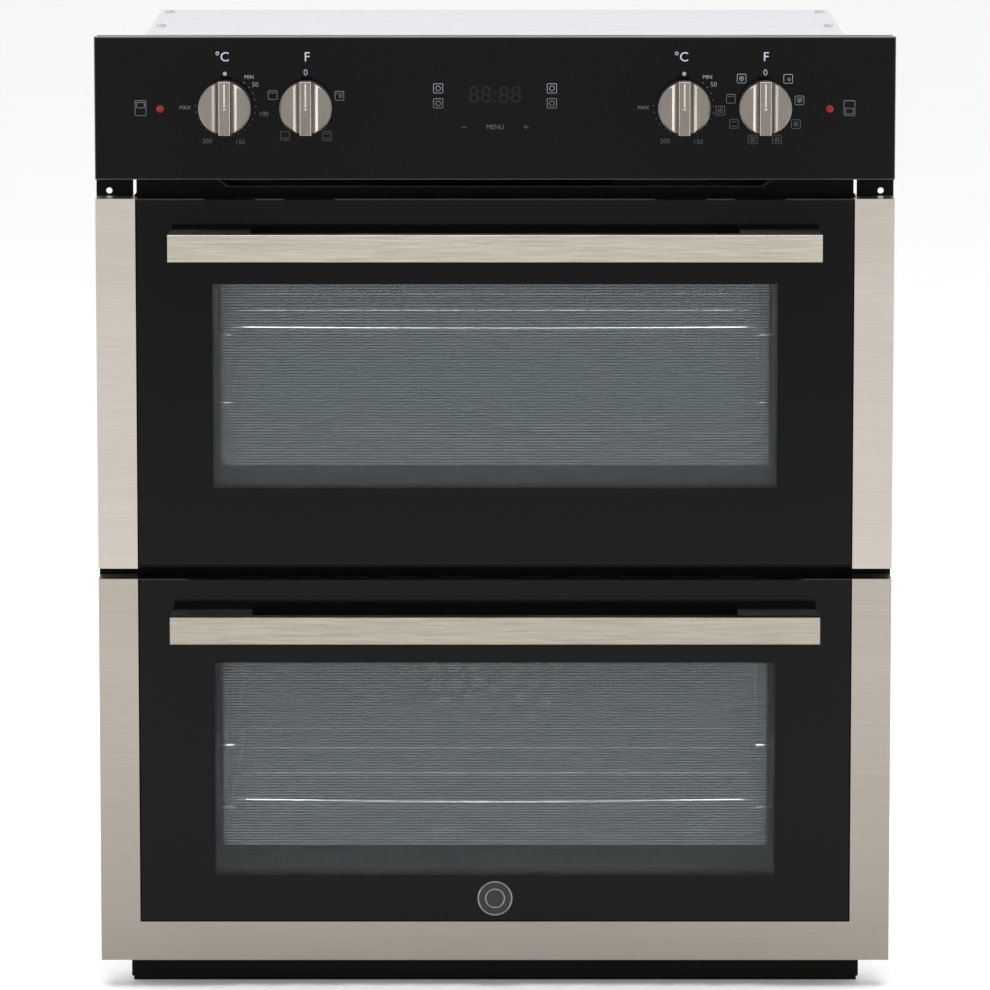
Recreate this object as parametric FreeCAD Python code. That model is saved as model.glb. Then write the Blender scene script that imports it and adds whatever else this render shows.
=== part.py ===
"""Built-under double oven: two stacked cavities with drop-down glass doors below a glass control panel.

Row frame: X across the front, Y from the front to the back, Z up. The origin is the centre of the
bounding box's footprint, on the surface that the oven stands on. Every depth below is counted in
millimetres from the outer face of the door glass, backwards.
"""
import FreeCAD, Part

import math
import os

V = FreeCAD.Vector

# ---- overall sizes ------------------------------------------------------------------------------
overall_height = 720.0
front_width = 594.5          # control panel and doors
flange_width = front_width + 1.5         # outer edges of the two fixing flanges
body_width = front_width - 64.5           # steel carcass behind the front frame
body_depth = 520.0           # behind the cabinet's front edge
handle_standoff = 43.0       # door glass to the front of the handle bar
door_thickness = 24.0
seal_gap = 6.0               # closed door to front frame, filled by the gasket
sheet = 1.0                  # steel sheet of the carcass
frame_sheet = 1.2            # steel sheet of the front frame

# ---- heights of the front, from the top down ----------------------------------------------------
panel_height = 106.3
panel_gap = 14.4             # air outlet between control panel and upper door
upper_door_height = 278.2
door_gap = 7.9
lower_door_height = 291.5
carcass_drop = 8.0           # top cover below the top of the control panel

# ---- doors --------------------------------------------------------------------------------------
trim_width = 29.5            # stainless trims at the sides, and below the lower glass
trim_sheet = 1.0
glass_sheet = 4.0
middle_glass_sheet = 3.0
glass_edge_gap = 0.3         # glass to trim
upper_glass_rise = 1.9       # upper glass ends this far above the bottom of its trims
inner_glass_width = front_width - 136.5
middle_glass_depth = 10.0
inner_glass_depth = 19.8
rail_height = 20.0
rail_wall = 1.5
pivot_rise = 11.0            # hinge axis above the door's lowest edge
pivot_depth = 13.0
pivot_radius = 3.0
pivot_play = 0.05
hinge_x = front_width / 2 - 47.25
hinge_arm_sheet = 3.0
hinge_ear_sheet = 1.5
hinge_side_play = 1.0
hinge_eye_radius = 5.5
hinge_housing_height = 120.0
arm_slot_play = 1.5          # front frame and door rail to the hinge arm

glass_bevel = 0.8
screw_hole_play = 0.6
pane_groove = 0.5            # inner panes to the side channels
clip_height = 24.0
clip_overlap = 8.0
clip_top_inset = 25.0
frame_top_drop = 1.0         # door frame under its trims' top edge
door_vents = 5
door_vent_pitch = 38.0
door_vent_start = 30.0
door_vent_half = 13.0
door_vent_front = 9.0
door_vent_back = 19.0
housing_web_front = 5.6
housing_ear_front = 7.2
pin_end = 1.5
arm_reach = 26.0             # hinge arm behind the front frame
arm_half_height = 4.0
hook_length = 8.0
hook_drop = 9.0
receiver_play = 0.3
receiver_sheet = 1.5
receiver_length = 40.0
receiver_web = 2.0
receiver_below = 11.0
receiver_above = 16.0
receiver_pin_depth = 16.0
receiver_pin_drop = 6.0
receiver_pin_radius = 2.0
badge_rise = 18.3            # badge's centre above the lower trim
badge_radius = 13.6
badge_sheet = 1.2
badge_ring_outer = 11.8
badge_ring_inner = 10.6
badge_ring_proud = 0.5

# ---- handles ------------------------------------------------------------------------------------
bar_length = front_width - 110.8
bar_height = 20.2
bar_sheet = 3.0
bar_rib_height = 9.0
bar_rib_depth = 9.0
bar_below_door_top = 22.4
support_length = 60.0
support_inset = 0.6          # support stands this far inside the bar's outline
handle_screw_radius = 2.5
handle_screw_head_radius = 4.6
handle_screw_head = 2.6
handle_screw_reach = 16.0
support_end_gap = 0.4
support_chamfer = 2.0
support_bore_extra = 2.0
bar_edge_radius = 0.6
cross_half_length = 3.0
cross_half_width = 0.5
cross_floor = 1.2

# ---- cavities -----------------------------------------------------------------------------------
cavity_width = front_width - 164.5
cavity_depth = 400.0
cavity_corner = 18.0
liner_sheet = 1.2
upper_floor_z = overall_height - 347.0
upper_cavity_height = 205.0
lower_floor_z = overall_height - 648.0
lower_cavity_height = 213.0
wool_thickness = 24.0
wool_gap = 0.4
base_space = 8.0             # under each liner's floor, for the base element
element_radius = 3.2
element_bend = 14.0
grill_drop = 24.0            # grill element below the upper ceiling
fan_z = lower_floor_z + 106.0
fan_radius = 74.0
fan_blades = 10
fan_cover_depth = 34.0       # fan cover in front of the rear wall
fan_cover_half = 118.0
fan_shaft_radius = 4.0

fan_cover_inset = 18.0       # fan cover lower than it is wide, at top and bottom
fan_cover_corner = 16.0
intake_rings = ((18, 8), (34, 14), (50, 20))     # radius and number of the intake holes
intake_hole_radius = 5.0
outlet_slots = 6
outlet_slot_half = 4.0
fan_disc_sheet = 1.2
fan_disc_gap = 9.0           # fan disc to the rear wall
fan_blade_depth = 15.0
fan_blade_start = 30.0
fan_blade_sheet = 1.2
fan_blade_twist = 28.0
fan_hub_radius = 9.0
fan_hub_length = 14.0
fan_shaft_reach = 40.0       # shaft behind the liner
fan_hole_radius = 8.0
motor_radius = 34.0
motor_length = 40.0
motor_end_radius = 20.0
motor_end_length = 8.0
motor_gap = 1.0              # motor's bracket to the insulation
bracket_sheet = 2.0
bracket_half_width = 12.0
bracket_half_length = 80.0
bracket_half_height = 60.0
element_front_gap = 70.0     # elements start this far behind the front frame
element_port_play = 0.6
element_end = 12.0           # element's ends behind the liner
grill_half_width = cavity_width / 2 - 50.0
grill_loop_half = grill_half_width - 65.0
grill_middle_half = 40.0
grill_leg_x = 30.0
grill_rear_gap = 60.0        # grill's rear bends to the rear wall
grill_loop_rise = 40.0       # inner loops shorter than the outer ones
grill_leg_run = 30.0
base_leg_x = 30.0
base_half_width = 150.0
base_bend_depth = 300.0
ring_gap = 14.0              # ring heater outside the fan, and off the rear wall
ring_leg_x = 12.0
ring_cut_half = 9.0
ring_leg_end = 10.0
lamp_inset = 65.0            # lamp's centre to the cavity's side
lamp_drop = 42.0
lamp_radius = 22.0
lamp_wall = 2.5
lamp_sink = 4.0              # dome's centre behind the rear wall's face
lamp_rim_radius = 25.0
lamp_rim = 4.0
lamp_holder_radius = 17.0
lamp_holder_length = 30.0
lamp_hole_radius = 17.5
bulb_radius = 5.0
bulb_reach = 10.0

# ---- racks and their side runners ---------------------------------------------------------------
rack_width = cavity_width - 26.0
rack_depth = cavity_depth - 80.0
rack_front_depth = 72.0
rack_edge_radius = 2.6
rack_wire_radius = 1.3
rack_bar_radius = 1.8
rack_bow = 11.0              # front bar stands forward at its middle
rack_corner = 10.0
upper_rack_z = upper_floor_z + 120.0
lower_rack_z = lower_floor_z + 57.5
upper_wire_pitch = rack_width / 404.0 * 28.7
upper_wires = 14
left_wire_pitch = rack_width / 404.0 * 28.6
left_wires = 7
left_wire_edge = rack_width / 2 - 15.6       # outermost wires of the lower rack, from the middle
right_wire_pitch = rack_width / 404.0 * 39.1
right_wires = 5
right_wire_edge = rack_width / 2 - 22.2
runner_radius = 2.4
runner_inset = 2.0           # runner wire inside the rack's edge
upper_runner_pitch = 52.0
lower_runner_pitch = 48.0
runner_play = 0.4            # rack edge above the runner wire
runner_start_depth = 60.0
runner_length = cavity_depth - 50.0

# ---- control panel ------------------------------------------------------------------------------
fascia_sheet = 4.0
carrier_depth = 20.0
carrier_wall = 1.5
knob_z = overall_height - 51.5
outer_knob_x = front_width / 2 - 97.25
inner_knob_x = outer_knob_x - 60.0
knob_radius = 19.4
knob_face_depth = -23.0
knob_gap = 1.0               # knob to fascia
fin_width = 9.0
fin_proud = 2.0
fin_overhang = 0.7
groove_floor = 1.7           # width of the deep groove beside the fin
groove_top = 4.6             # width to the outer edge of the slope beyond it
groove_lip = 1.3             # depth of the slope at the deep groove
groove_depth = 9.0
shaft_radius = 3.0
shaft_play = 0.5             # hole in fascia and bracket round the shaft
shaft_rear_depth = 52.0
hub_radius = 6.5
switch_width = 40.0
switch_front_depth = 34.0
switch_depth = 30.0
lens_x = front_width / 2 - 48.85
lens_z = overall_height - 53.5
lens_radius = 2.8
display_width = 88.0
display_height = 34.0
display_z = overall_height - 48.0

display_frame = 6.0          # opening in the front frame beyond the display
lens_dome_radius = 5.0
lens_proud = 1.1
lens_body_extra = 2.0
lens_body_length = 16.0
carrier_rib_gap = 20.0       # carrier's ribs beyond the display
bushing_radius = 5.0
bushing_length = 5.0
bushing_hole_radius = 5.2
tab_columns = (-12, 0, 12)
tab_rows = (-10, 0, 10)
tab_half_width = 3.2
tab_half_sheet = 0.4
tab_length = 9.0
bracket_side = 8.0           # switch bracket beyond the switches
bracket_top = 6.0
timer_window_depth = 8.0
board_sheet = 1.6
board_edge = 3.0
timer_case_inset = 6.0
timer_case_low = 4.0
timer_case_back = 12.0
plug_x = 20.0                # plug's centre in from the display's edge
plug_half_width = 10.0
plug_half_height = 5.0
plug_length = 8.0

# ---- cooling blower and wiring box --------------------------------------------------------------
blower_x = 0.0
blower_gap = 110.0           # blower's axis behind the air duct
blower_radius = 62.0
blower_height = 46.0
spout_flare = 30.0
spout_rise = 14.0            # spout higher than the duct
intake_radius = 42.0
blower_motor_radius = 20.0
blower_motor_length = 26.0
blower_arm_half = 3.5
blower_arm_sheet = 2.0
blower_arms = 3
rotor_radius = 50.0
rotor_blades = 18
rotor_play = 3.0
rotor_disc_sheet = 1.2
rotor_ring_width = 6.0
rotor_ring_sheet = 2.0
rotor_blade_chord = 8.0
rotor_blade_half_sheet = 0.5
rotor_blade_twist = 35.0
rotor_hub_radius = 9.0
rotor_hub_height = 12.0
rotor_spindle_end = 12.0     # spindle above the blower's drum
box_outer_inset = 30.0       # wiring box to the side panel
box_width = 85.0
box_back_gap = 10.0
box_length = 60.0
box_height = 25.0
box_corner = 4.0
box_lid = 3.0
box_lid_inset = 2.0
gland_rise = 14.0
gland_radius = 9.0
gland_length = 8.0
gland_bore_radius = 5.0
gland_bore_length = 20.0

# ---- carcass details ----------------------------------------------------------------------------
raised_depth = 375.0         # rear edge of the raised part of the top cover
step_drop = 44.0
step_run = 38.0
plinth_width = front_width - 42.5
plinth_height = 20.0
plinth_foot_width = plinth_width - 3.0
plinth_foot_height = 3.0
plinth_depth = 16.0
slit_width = 2.3
slit_x = front_width / 2 - 27.95
slit_low_z = overall_height - 119.0
slit_length = 34.0
air_outlet_height = 12.0
air_outlet_half = front_width / 2 - 86.25
air_outlet_rise = 4.0        # duct above the middle of the gap over the upper door
duct_length = 60.0
frame_window = 24.0          # half-size of the openings behind the knobs and the display
rib_half_width = 12.0
rib_height = 6.0
side_vents = 8
side_vent_pitch = 22.0
top_slots = 12
top_slot_pitch = 38.0
back_slots = 7
back_slot_pitch = 16.0
vent_width = 5.0
screw_radius = 1.8
screw_head_radius = 3.6
screw_head = 2.0
screw_length = 8.0
fixing_x = flange_width / 2 - 9.6
fixing_hole_radius = 2.3
fixing_high_z = overall_height - 117.4
fixing_low_z = overall_height - 567.4

# ---- worked-out positions -----------------------------------------------------------------------
frame_front = door_thickness + seal_gap
frame_back = frame_front + frame_sheet
carcass_back = frame_front + body_depth
total_depth = handle_standoff + carcass_back
front_y = handle_standoff - total_depth / 2
panel_bottom_z = overall_height - panel_height
upper_door_top = panel_bottom_z - panel_gap
upper_door_bottom = upper_door_top - upper_door_height
lower_door_top = upper_door_bottom - door_gap
lower_door_bottom = lower_door_top - lower_door_height
carcass_top = overall_height - carcass_drop
step_top = carcass_top - step_drop
front_half = front_width / 2
body_half = body_width / 2
glass_half = front_half - trim_width - glass_edge_gap
frame_bottom_z = plinth_height + 1.5
plinth_back = frame_front + plinth_depth
liner_back = frame_back + cavity_depth + liner_sheet
air_outlet_z = (panel_bottom_z + upper_door_top) / 2 + air_outlet_rise
blower_d = frame_back + duct_length + blower_gap
blower_low = air_outlet_z - air_outlet_height / 2
grill_z = upper_floor_z + upper_cavity_height - grill_drop
ring_radius = fan_radius + ring_gap
ring_leg_z = fan_z + math.sqrt(ring_radius ** 2 - ring_leg_x ** 2)
cover_screw_x = body_half - 8
cover_screws = [(frame_back + 30, carcass_top), ((frame_back + raised_depth) / 2, carcass_top),
                (raised_depth - 30, carcass_top), (carcass_back - 120, step_top),
                (carcass_back - 20, step_top)]


def block(x0, x1, d0, d1, z0, z1):
    """Box between two X, two depths behind the door glass, and two heights."""
    return Part.makeBox(x1 - x0, d1 - d0, z1 - z0, V(x0, front_y + d0, z0))


def rod(x, d, z, radius, length, direction):
    """Cylinder from a point along a direction."""
    return Part.makeCylinder(radius, length, V(x, front_y + d, z), V(*direction))


def rounded_block(half_width, d0, d1, z0, z1, corner):
    """Box centred on X with its four edges along Y rounded."""
    body = block(-half_width, half_width, d0, d1, z0, z1)
    along = [e for e in body.Edges if abs(e.tangentAt(e.FirstParameter).y) > 0.99]
    return body.makeFillet(corner, along)


def profile_x(points, x0, x1):
    """Outline of (depth, z) points extruded along X."""
    wire = Part.makePolygon([V(x0, front_y + d, z) for d, z in points + points[:1]])
    return Part.Face(wire).extrude(V(x1 - x0, 0, 0))


def profile_y(points, d0, d1):
    """Outline of (x, z) points extruded along Y."""
    wire = Part.makePolygon([V(x, front_y + d0, z) for x, z in points + points[:1]])
    return Part.Face(wire).extrude(V(0, d1 - d0, 0))


def profile_z(points, z0, z1):
    """Outline of (x, depth) points extruded along Z."""
    wire = Part.makePolygon([V(x, front_y + d, z0) for x, d in points + points[:1]])
    return Part.Face(wire).extrude(V(0, 0, z1 - z0))


def round_rod(points, radius, bend):
    """Round bar through (x, depth, z) corners, with a tangent arc of the bend radius at each one."""
    corners = [V(x, front_y + d, z) for x, d, z in points]
    edges, start = [], corners[0]
    for before, corner, after in zip(corners, corners[1:], corners[2:]):
        back, ahead = (before - corner).normalize(), (after - corner).normalize()
        opening = math.acos(max(-1.0, min(1.0, back.dot(ahead))))
        cut = bend / math.tan(opening / 2)
        enter, leave = corner + back * cut, corner + ahead * cut
        middle = corner + (back + ahead).normalize() * (bend / math.sin(opening / 2) - bend)
        edges.append(Part.LineSegment(start, enter).toShape())
        edges.append(Part.Arc(enter, middle, leave).toShape())
        start = leave
    edges.append(Part.LineSegment(start, corners[-1]).toShape())
    path = Part.Wire(edges)
    section = Part.Wire([Part.Circle(corners[0], corners[1] - corners[0], radius).toShape()])
    return path.makePipeShell([section], True, False)


def fuse(shapes):
    """One solid from touching shapes."""
    whole = shapes[0].multiFuse(shapes[1:]) if len(shapes) > 1 else shapes[0]
    return whole.removeSplitter()


def group(shapes):
    """Separate solids that share one node."""
    return Part.makeCompound(shapes)


def both_sides(shape):
    """The shape and its mirror image across the oven's middle plane."""
    return [shape, shape.mirror(V(0, 0, 0), V(1, 0, 0))]


parts = {}


# ---- carcass ------------------------------------------------------------------------------------
def cover_line(inset):
    """Side view of the carcass's top from front to back, moved inwards by inset."""
    return [
        (frame_back, carcass_top - inset),
        (raised_depth, carcass_top - inset),
        (raised_depth + step_run, step_top - inset),
        (carcass_back, step_top - inset),
    ]


def side_panel():
    """Galvanised side wall with a top flange for the cover's screws and a row of vents."""
    foot = plinth_height + 0.5
    outline = cover_line(sheet) + [(carcass_back, sheet), (plinth_back, sheet), (plinth_back, foot),
                                   (frame_back, foot)]
    panel = profile_x(outline, body_half - sheet, body_half)
    band = cover_line(sheet) + list(reversed(cover_line(2 * sheet)))
    panel = fuse([panel, profile_x(band, body_half - 16, body_half - sheet / 2)])
    cuts = [cover_screw(d, z, screw_radius) for d, z in cover_screws]
    vent_low, vent_high = step_top - 108, step_top - 48
    for column in range(side_vents):
        d = carcass_back - 90 - column * side_vent_pitch
        cuts.append(block(body_half - 5, body_half + 5, d, d + vent_width, vent_low, vent_high))
    return panel.cut(group(cuts))


def cover_screw(d, top, radius):
    """Shank of a cover screw on the right side, as a tool or as a part."""
    return rod(cover_screw_x, d, top + 0.5 - screw_length, radius, screw_length, (0, 0, 1))


def cover_screw_set():
    """Pan-head screws that hold the top cover, both sides."""
    screws = []
    for d, top in cover_screws:
        head = rod(cover_screw_x, d, top, screw_head_radius, screw_head, (0, 0, 1))
        slot = block(cover_screw_x - 2.5, cover_screw_x + 2.5, d - 0.4, d + 0.4,
                     top + screw_head - 1, top + screw_head + 1)
        cross = block(cover_screw_x - 0.4, cover_screw_x + 0.4, d - 2.5, d + 2.5,
                      top + screw_head - 1, top + screw_head + 1)
        screws += both_sides(fuse([head, cover_screw(d, top, screw_radius)])
                             .cut(fuse([slot, cross])))
    return group(screws)


def top_cover():
    """Raised cover plate that slopes down to a lower rear part with cooling slots."""
    outline = cover_line(0) + list(reversed(cover_line(sheet)))
    cover = profile_x(outline, -body_half, body_half)
    cuts = []
    for d, top in cover_screws:
        cuts += both_sides(cover_screw(d, top, screw_radius))
    start = -(top_slots - 1) / 2 * top_slot_pitch
    for row in range(2):
        for column in range(top_slots):
            x = start + column * top_slot_pitch
            d = raised_depth + step_run + 25 + row * 30
            cuts.append(block(x - 12, x + 12, d, d + vent_width, step_top - 5, step_top + 5))
    return cover.cut(group(cuts))


def back_cover():
    """Flat rear panel with two fields of slots."""
    inside = body_half - sheet
    cover = block(-inside, inside, carcass_back - sheet, carcass_back, sheet, step_top - 2 * sheet)
    slots = []
    for row in range(back_slots):
        z = step_top - 140 - row * back_slot_pitch
        slots += both_sides(block(body_half * 0.34, body_half * 0.8, carcass_back - 5,
                                  carcass_back + 5, z, z + vent_width))
    return cover.cut(group(slots))


def base_tray():
    """Floor of the carcass with a front lip and three stiffening ribs."""
    inside = body_half - sheet
    floor = block(-body_half, body_half, plinth_back, carcass_back, 0, sheet)
    front_lip = block(-inside, inside, plinth_back, plinth_back + sheet, 0, plinth_height)
    ribs = []
    for x in (-0.57 * body_half, 0, 0.57 * body_half):
        ribs.append(block(x - rib_half_width, x + rib_half_width, plinth_back + 40,
                          carcass_back - 40, sheet, sheet + rib_height))
    return fuse([floor, front_lip] + ribs)


def plinth_trim():
    """Black folded channel under the lower door, with a narrower foot."""
    half, foot = plinth_width / 2, plinth_foot_width / 2
    front, back = frame_front, frame_front + plinth_depth
    face = block(-half, half, front, front + frame_sheet, plinth_foot_height, plinth_height)
    foot_bar = block(-foot, foot, front, back, 0, plinth_foot_height)
    shelf = block(-half, half, front, back, plinth_height - frame_sheet, plinth_height)
    return fuse([face, foot_bar, shelf])


def front_frame():
    """Black front plate with both cavity mouths, the fixing flanges and the hinge slots."""
    half = flange_width / 2
    plate = block(-half, half, frame_front, frame_back, frame_bottom_z, carcass_top)
    cuts = []
    for floor_z, height in cavity_sizes():
        cuts.append(rounded_block(cavity_width / 2, frame_front - 1, frame_back + 1,
                                  floor_z, floor_z + height, cavity_corner))
    slit_half = slit_width / 2
    for side in (-1, 1):
        inner, outer = side * (slit_x - slit_half), side * (slit_x + slit_half)
        cuts.append(profile_y([(inner, slit_low_z), (outer, slit_low_z - slit_width),
                               (outer, slit_low_z + slit_length), (inner, slit_low_z + slit_length)],
                              frame_front - 1, frame_back + 1))
        for z in (fixing_high_z, fixing_low_z):
            cuts.append(rod(side * fixing_x, frame_front - 1, z, fixing_hole_radius,
                            frame_sheet + 2, (0, 1, 0)))
        for axis_z in (pivot_z(upper_door_bottom), pivot_z(lower_door_bottom)):
            slot = hinge_arm_sheet / 2 + arm_slot_play
            rise = hinge_eye_radius + arm_slot_play
            cuts.append(block(side * hinge_x - slot, side * hinge_x + slot, frame_front - 1,
                              frame_back + 1, axis_z - rise, axis_z + rise))
        for x in (inner_knob_x, outer_knob_x):
            cuts.append(block(side * x - frame_window, side * x + frame_window, frame_front - 1,
                              frame_back + 1, knob_z - frame_window, knob_z + frame_window))
    cuts.append(block(-display_width / 2 - 6, display_width / 2 + 6, frame_front - 1,
                      frame_back + 1, display_z - frame_window, display_z + frame_window))
    air_half = air_outlet_half - 10
    cuts.append(block(-air_half, air_half, frame_front - 1, frame_back + 1,
                      air_outlet_z - air_outlet_height / 2 + sheet,
                      air_outlet_z + air_outlet_height / 2 - sheet))
    return plate.cut(group(cuts))


def cavity_sizes():
    """Floor height and inner height of each cavity, upper first."""
    return ((upper_floor_z, upper_cavity_height), (lower_floor_z, lower_cavity_height))


def pivot_z(door_bottom):
    """Height of a door's hinge axis."""
    return door_bottom + pivot_rise


def air_outlet():
    """Black duct that lets the cooling air out above the upper door."""
    half = air_outlet_half
    low, high = air_outlet_z - air_outlet_height / 2, air_outlet_z + air_outlet_height / 2
    outer = block(-half, half, frame_back, frame_back + duct_length, low, high)
    inner = block(-half + sheet, half - sheet, frame_back - 1, frame_back + duct_length + 1,
                  low + sheet, high - sheet)
    duct = outer.cut(inner)
    lip_low, lip_high = low + 1, panel_bottom_z - 0.5
    lip = profile_y([(-half + 10, lip_low), (half - 10, lip_low), (half, lip_high),
                     (-half, lip_high)], frame_front - 3, frame_front)
    hole = profile_y([(-half + 12, lip_low + sheet), (half - 12, lip_low + sheet),
                      (half - 3, lip_high - sheet), (-half + 3, lip_high - sheet)],
                     frame_front - 4, frame_front + 1)
    return duct, lip.cut(hole)


def liner(floor_z, height):
    """Enamelled steel box, open at the front, with rounded corners."""
    half = cavity_width / 2
    outer = rounded_block(half + liner_sheet, frame_back, liner_back, floor_z - liner_sheet,
                          floor_z + height + liner_sheet, cavity_corner + liner_sheet)
    inner = rounded_block(half, frame_back - 1, liner_back - liner_sheet, floor_z,
                          floor_z + height, cavity_corner)
    return outer.cut(inner)


def wool(floor_z, height):
    """Insulation blanket round a liner's sides, top, bottom and back."""
    half = cavity_width / 2 + liner_sheet + wool_gap
    low = floor_z - liner_sheet - base_space
    high = floor_z + height + liner_sheet + wool_gap
    front = frame_back + 30
    outer = rounded_block(half + wool_thickness, front, liner_back + wool_gap + wool_thickness,
                          low - wool_thickness, high + wool_thickness, cavity_corner + 8)
    inner = rounded_block(half, front - 1, liner_back + wool_gap, low, high, cavity_corner + 1)
    return outer.cut(inner)


def gasket(floor_z, height):
    """Soft ring round a cavity's mouth, just clear of the closed door."""
    band, lift = 7.0, 0.5
    half = cavity_width / 2
    inner_gap = 1.5
    front = door_thickness + lift
    outer = rounded_block(half + inner_gap + band, front, frame_front, floor_z - inner_gap - band,
                          floor_z + height + inner_gap + band, cavity_corner + inner_gap + band)
    soft_edges = [e for e in outer.Edges if abs(e.BoundBox.YMin - (front_y + front)) < 1e-6
                  and abs(e.BoundBox.YMax - (front_y + front)) < 1e-6]
    outer = outer.makeFillet(2.2, soft_edges)
    inner = rounded_block(half + inner_gap, front - 1, frame_front + 1, floor_z - inner_gap,
                          floor_z + height + inner_gap, cavity_corner + inner_gap)
    return outer.cut(inner)


parts["cover_screws"] = cover_screw_set()
parts["side_panels"] = group(both_sides(side_panel()))
parts["top_cover"] = top_cover()
parts["back_cover"] = back_cover()
parts["base_tray"] = base_tray()
parts["plinth_trim"] = plinth_trim()
parts["front_frame"] = front_frame()
parts["air_duct"], parts["air_outlet_lip"] = air_outlet()
parts["upper_cavity"] = liner(upper_floor_z, upper_cavity_height)
parts["lower_cavity"] = liner(lower_floor_z, lower_cavity_height)
parts["insulation"] = group([wool(z, h) for z, h in cavity_sizes()])
parts["upper_gasket"] = gasket(upper_floor_z, upper_cavity_height)
parts["lower_gasket"] = gasket(lower_floor_z, lower_cavity_height)


# ---- inside the cavities ------------------------------------------------------------------------
def grill_element():
    """Serpentine grill bar under the upper ceiling, with its two ends through the rear wall."""
    z = grill_z
    front, rear = frame_back + element_front_gap, liner_back - grill_rear_gap
    out = liner_back + element_end
    knee, loop = rear + grill_leg_run, rear - grill_loop_rise
    right = [(grill_middle_half, front, z), (grill_middle_half, loop, z),
             (grill_loop_half, loop, z), (grill_loop_half, front, z),
             (grill_half_width, front, z), (grill_half_width, rear, z),
             (grill_leg_x, knee, z), (grill_leg_x, out, z)]
    left = [(-x, d, level) for x, d, level in reversed(right)]
    return round_rod(left + right, element_radius, element_bend)


def base_element(floor_z):
    """Flat loop that heats a liner's floor from below."""
    z = floor_z - liner_sheet - base_space / 2
    front, rear = frame_back + element_front_gap, liner_back + wool_gap
    right = [(base_half_width, front, z), (base_half_width, base_bend_depth, z),
             (base_leg_x, base_bend_depth, z), (base_leg_x, rear, z)]
    left = [(-x, d, level) for x, d, level in reversed(right)]
    return round_rod(left + right, element_radius, element_bend)


def ring_element():
    """Ring heater round the fan, held off the rear wall of the lower cavity."""
    plane = liner_back - liner_sheet - ring_gap
    ring = Part.makeTorus(ring_radius, element_radius, V(0, front_y + plane, fan_z), V(0, 1, 0))
    reach = 2 * element_radius
    gap = block(-ring_cut_half, ring_cut_half, plane - reach, plane + reach,
                fan_z + ring_radius - reach, fan_z + ring_radius + reach)
    legs = [rod(side * ring_leg_x, plane, ring_leg_z, element_radius,
                ring_gap + liner_sheet + ring_leg_end, (0, 1, 0)) for side in (-1, 1)]
    return fuse([ring.cut(gap)] + legs)


def fan_cover():
    """Enamelled dish over the fan, with a round intake grille and outlet slots at its rim."""
    wall = liner_back - liner_sheet
    front = wall - fan_cover_depth
    half = fan_cover_half
    low, high = fan_z - half + fan_cover_inset, fan_z + half - fan_cover_inset
    dish = rounded_block(half, front, wall, low, high, fan_cover_corner)
    hollow = rounded_block(half - sheet, front + sheet, wall + 1, low + sheet, high - sheet,
                           fan_cover_corner - sheet)
    cover = dish.cut(hollow)
    slots = []
    for ring, count in intake_rings:
        for step in range(count):
            angle = 2 * math.pi * step / count
            x, z = ring * math.cos(angle), fan_z + ring * math.sin(angle)
            slots.append(rod(x, front - 1, z, intake_hole_radius, sheet + 2, (0, 1, 0)))
    first = low + fan_cover_corner + 10
    last = high - fan_cover_corner - 10
    for row in range(outlet_slots):
        z = first + row * (last - first) / (outlet_slots - 1)
        for x in (-half, half):
            slots.append(block(x - 3, x + 3, front + 8, wall - 8, z - outlet_slot_half,
                               z + outlet_slot_half))
    return cover.cut(group(slots))


def fan_wheel():
    """Stamped fan: a hub, a rear disc and forward-standing blades, on its own shaft."""
    plate = liner_back - liner_sheet - fan_disc_gap
    disc = rod(0, plate, fan_z, fan_radius, fan_disc_sheet, (0, 1, 0))
    hub = rod(0, plate - fan_hub_length, fan_z, fan_hub_radius, fan_hub_length + fan_disc_sheet,
              (0, 1, 0))
    shaft = rod(0, plate, fan_z, fan_shaft_radius, liner_back + fan_shaft_reach - plate, (0, 1, 0))
    half_sheet = fan_blade_sheet / 2
    blades = []
    for step in range(fan_blades):
        blade = block(fan_blade_start, fan_radius - 2, plate - fan_blade_depth,
                      plate + fan_disc_sheet / 2, fan_z - half_sheet, fan_z + half_sheet)
        blade.rotate(V((fan_blade_start + fan_radius) / 2, 0, fan_z), V(0, 1, 0), fan_blade_twist)
        blade.rotate(V(0, 0, fan_z), V(0, 1, 0), 360 * step / fan_blades)
        blades.append(blade)
    return fuse([disc, hub, shaft] + blades)


def fan_motor():
    """Motor behind the lower cavity, on a spider bracket, with a bore for the fan's shaft."""
    front = liner_back + wool_gap + wool_thickness + motor_gap
    back = front + bracket_sheet
    can = rod(0, back, fan_z, motor_radius, motor_length, (0, 1, 0))
    end = rod(0, back + motor_length, fan_z, motor_end_radius, motor_end_length, (0, 1, 0))
    arms = [block(-bracket_half_length, bracket_half_length, front, back,
                  fan_z - bracket_half_width, fan_z + bracket_half_width),
            block(-bracket_half_width, bracket_half_width, front, back,
                  fan_z - bracket_half_height, fan_z + bracket_half_height)]
    bore = rod(0, front - 1, fan_z, fan_shaft_radius + pivot_play,
               bracket_sheet + motor_length + motor_end_length + 2, (0, 1, 0))
    return fuse([can, end] + arms).cut(bore)


def lamp_place(floor_z, height):
    """Centre of a cavity's lamp on its rear wall."""
    return lamp_inset - cavity_width / 2, floor_z + height - lamp_drop


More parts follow.
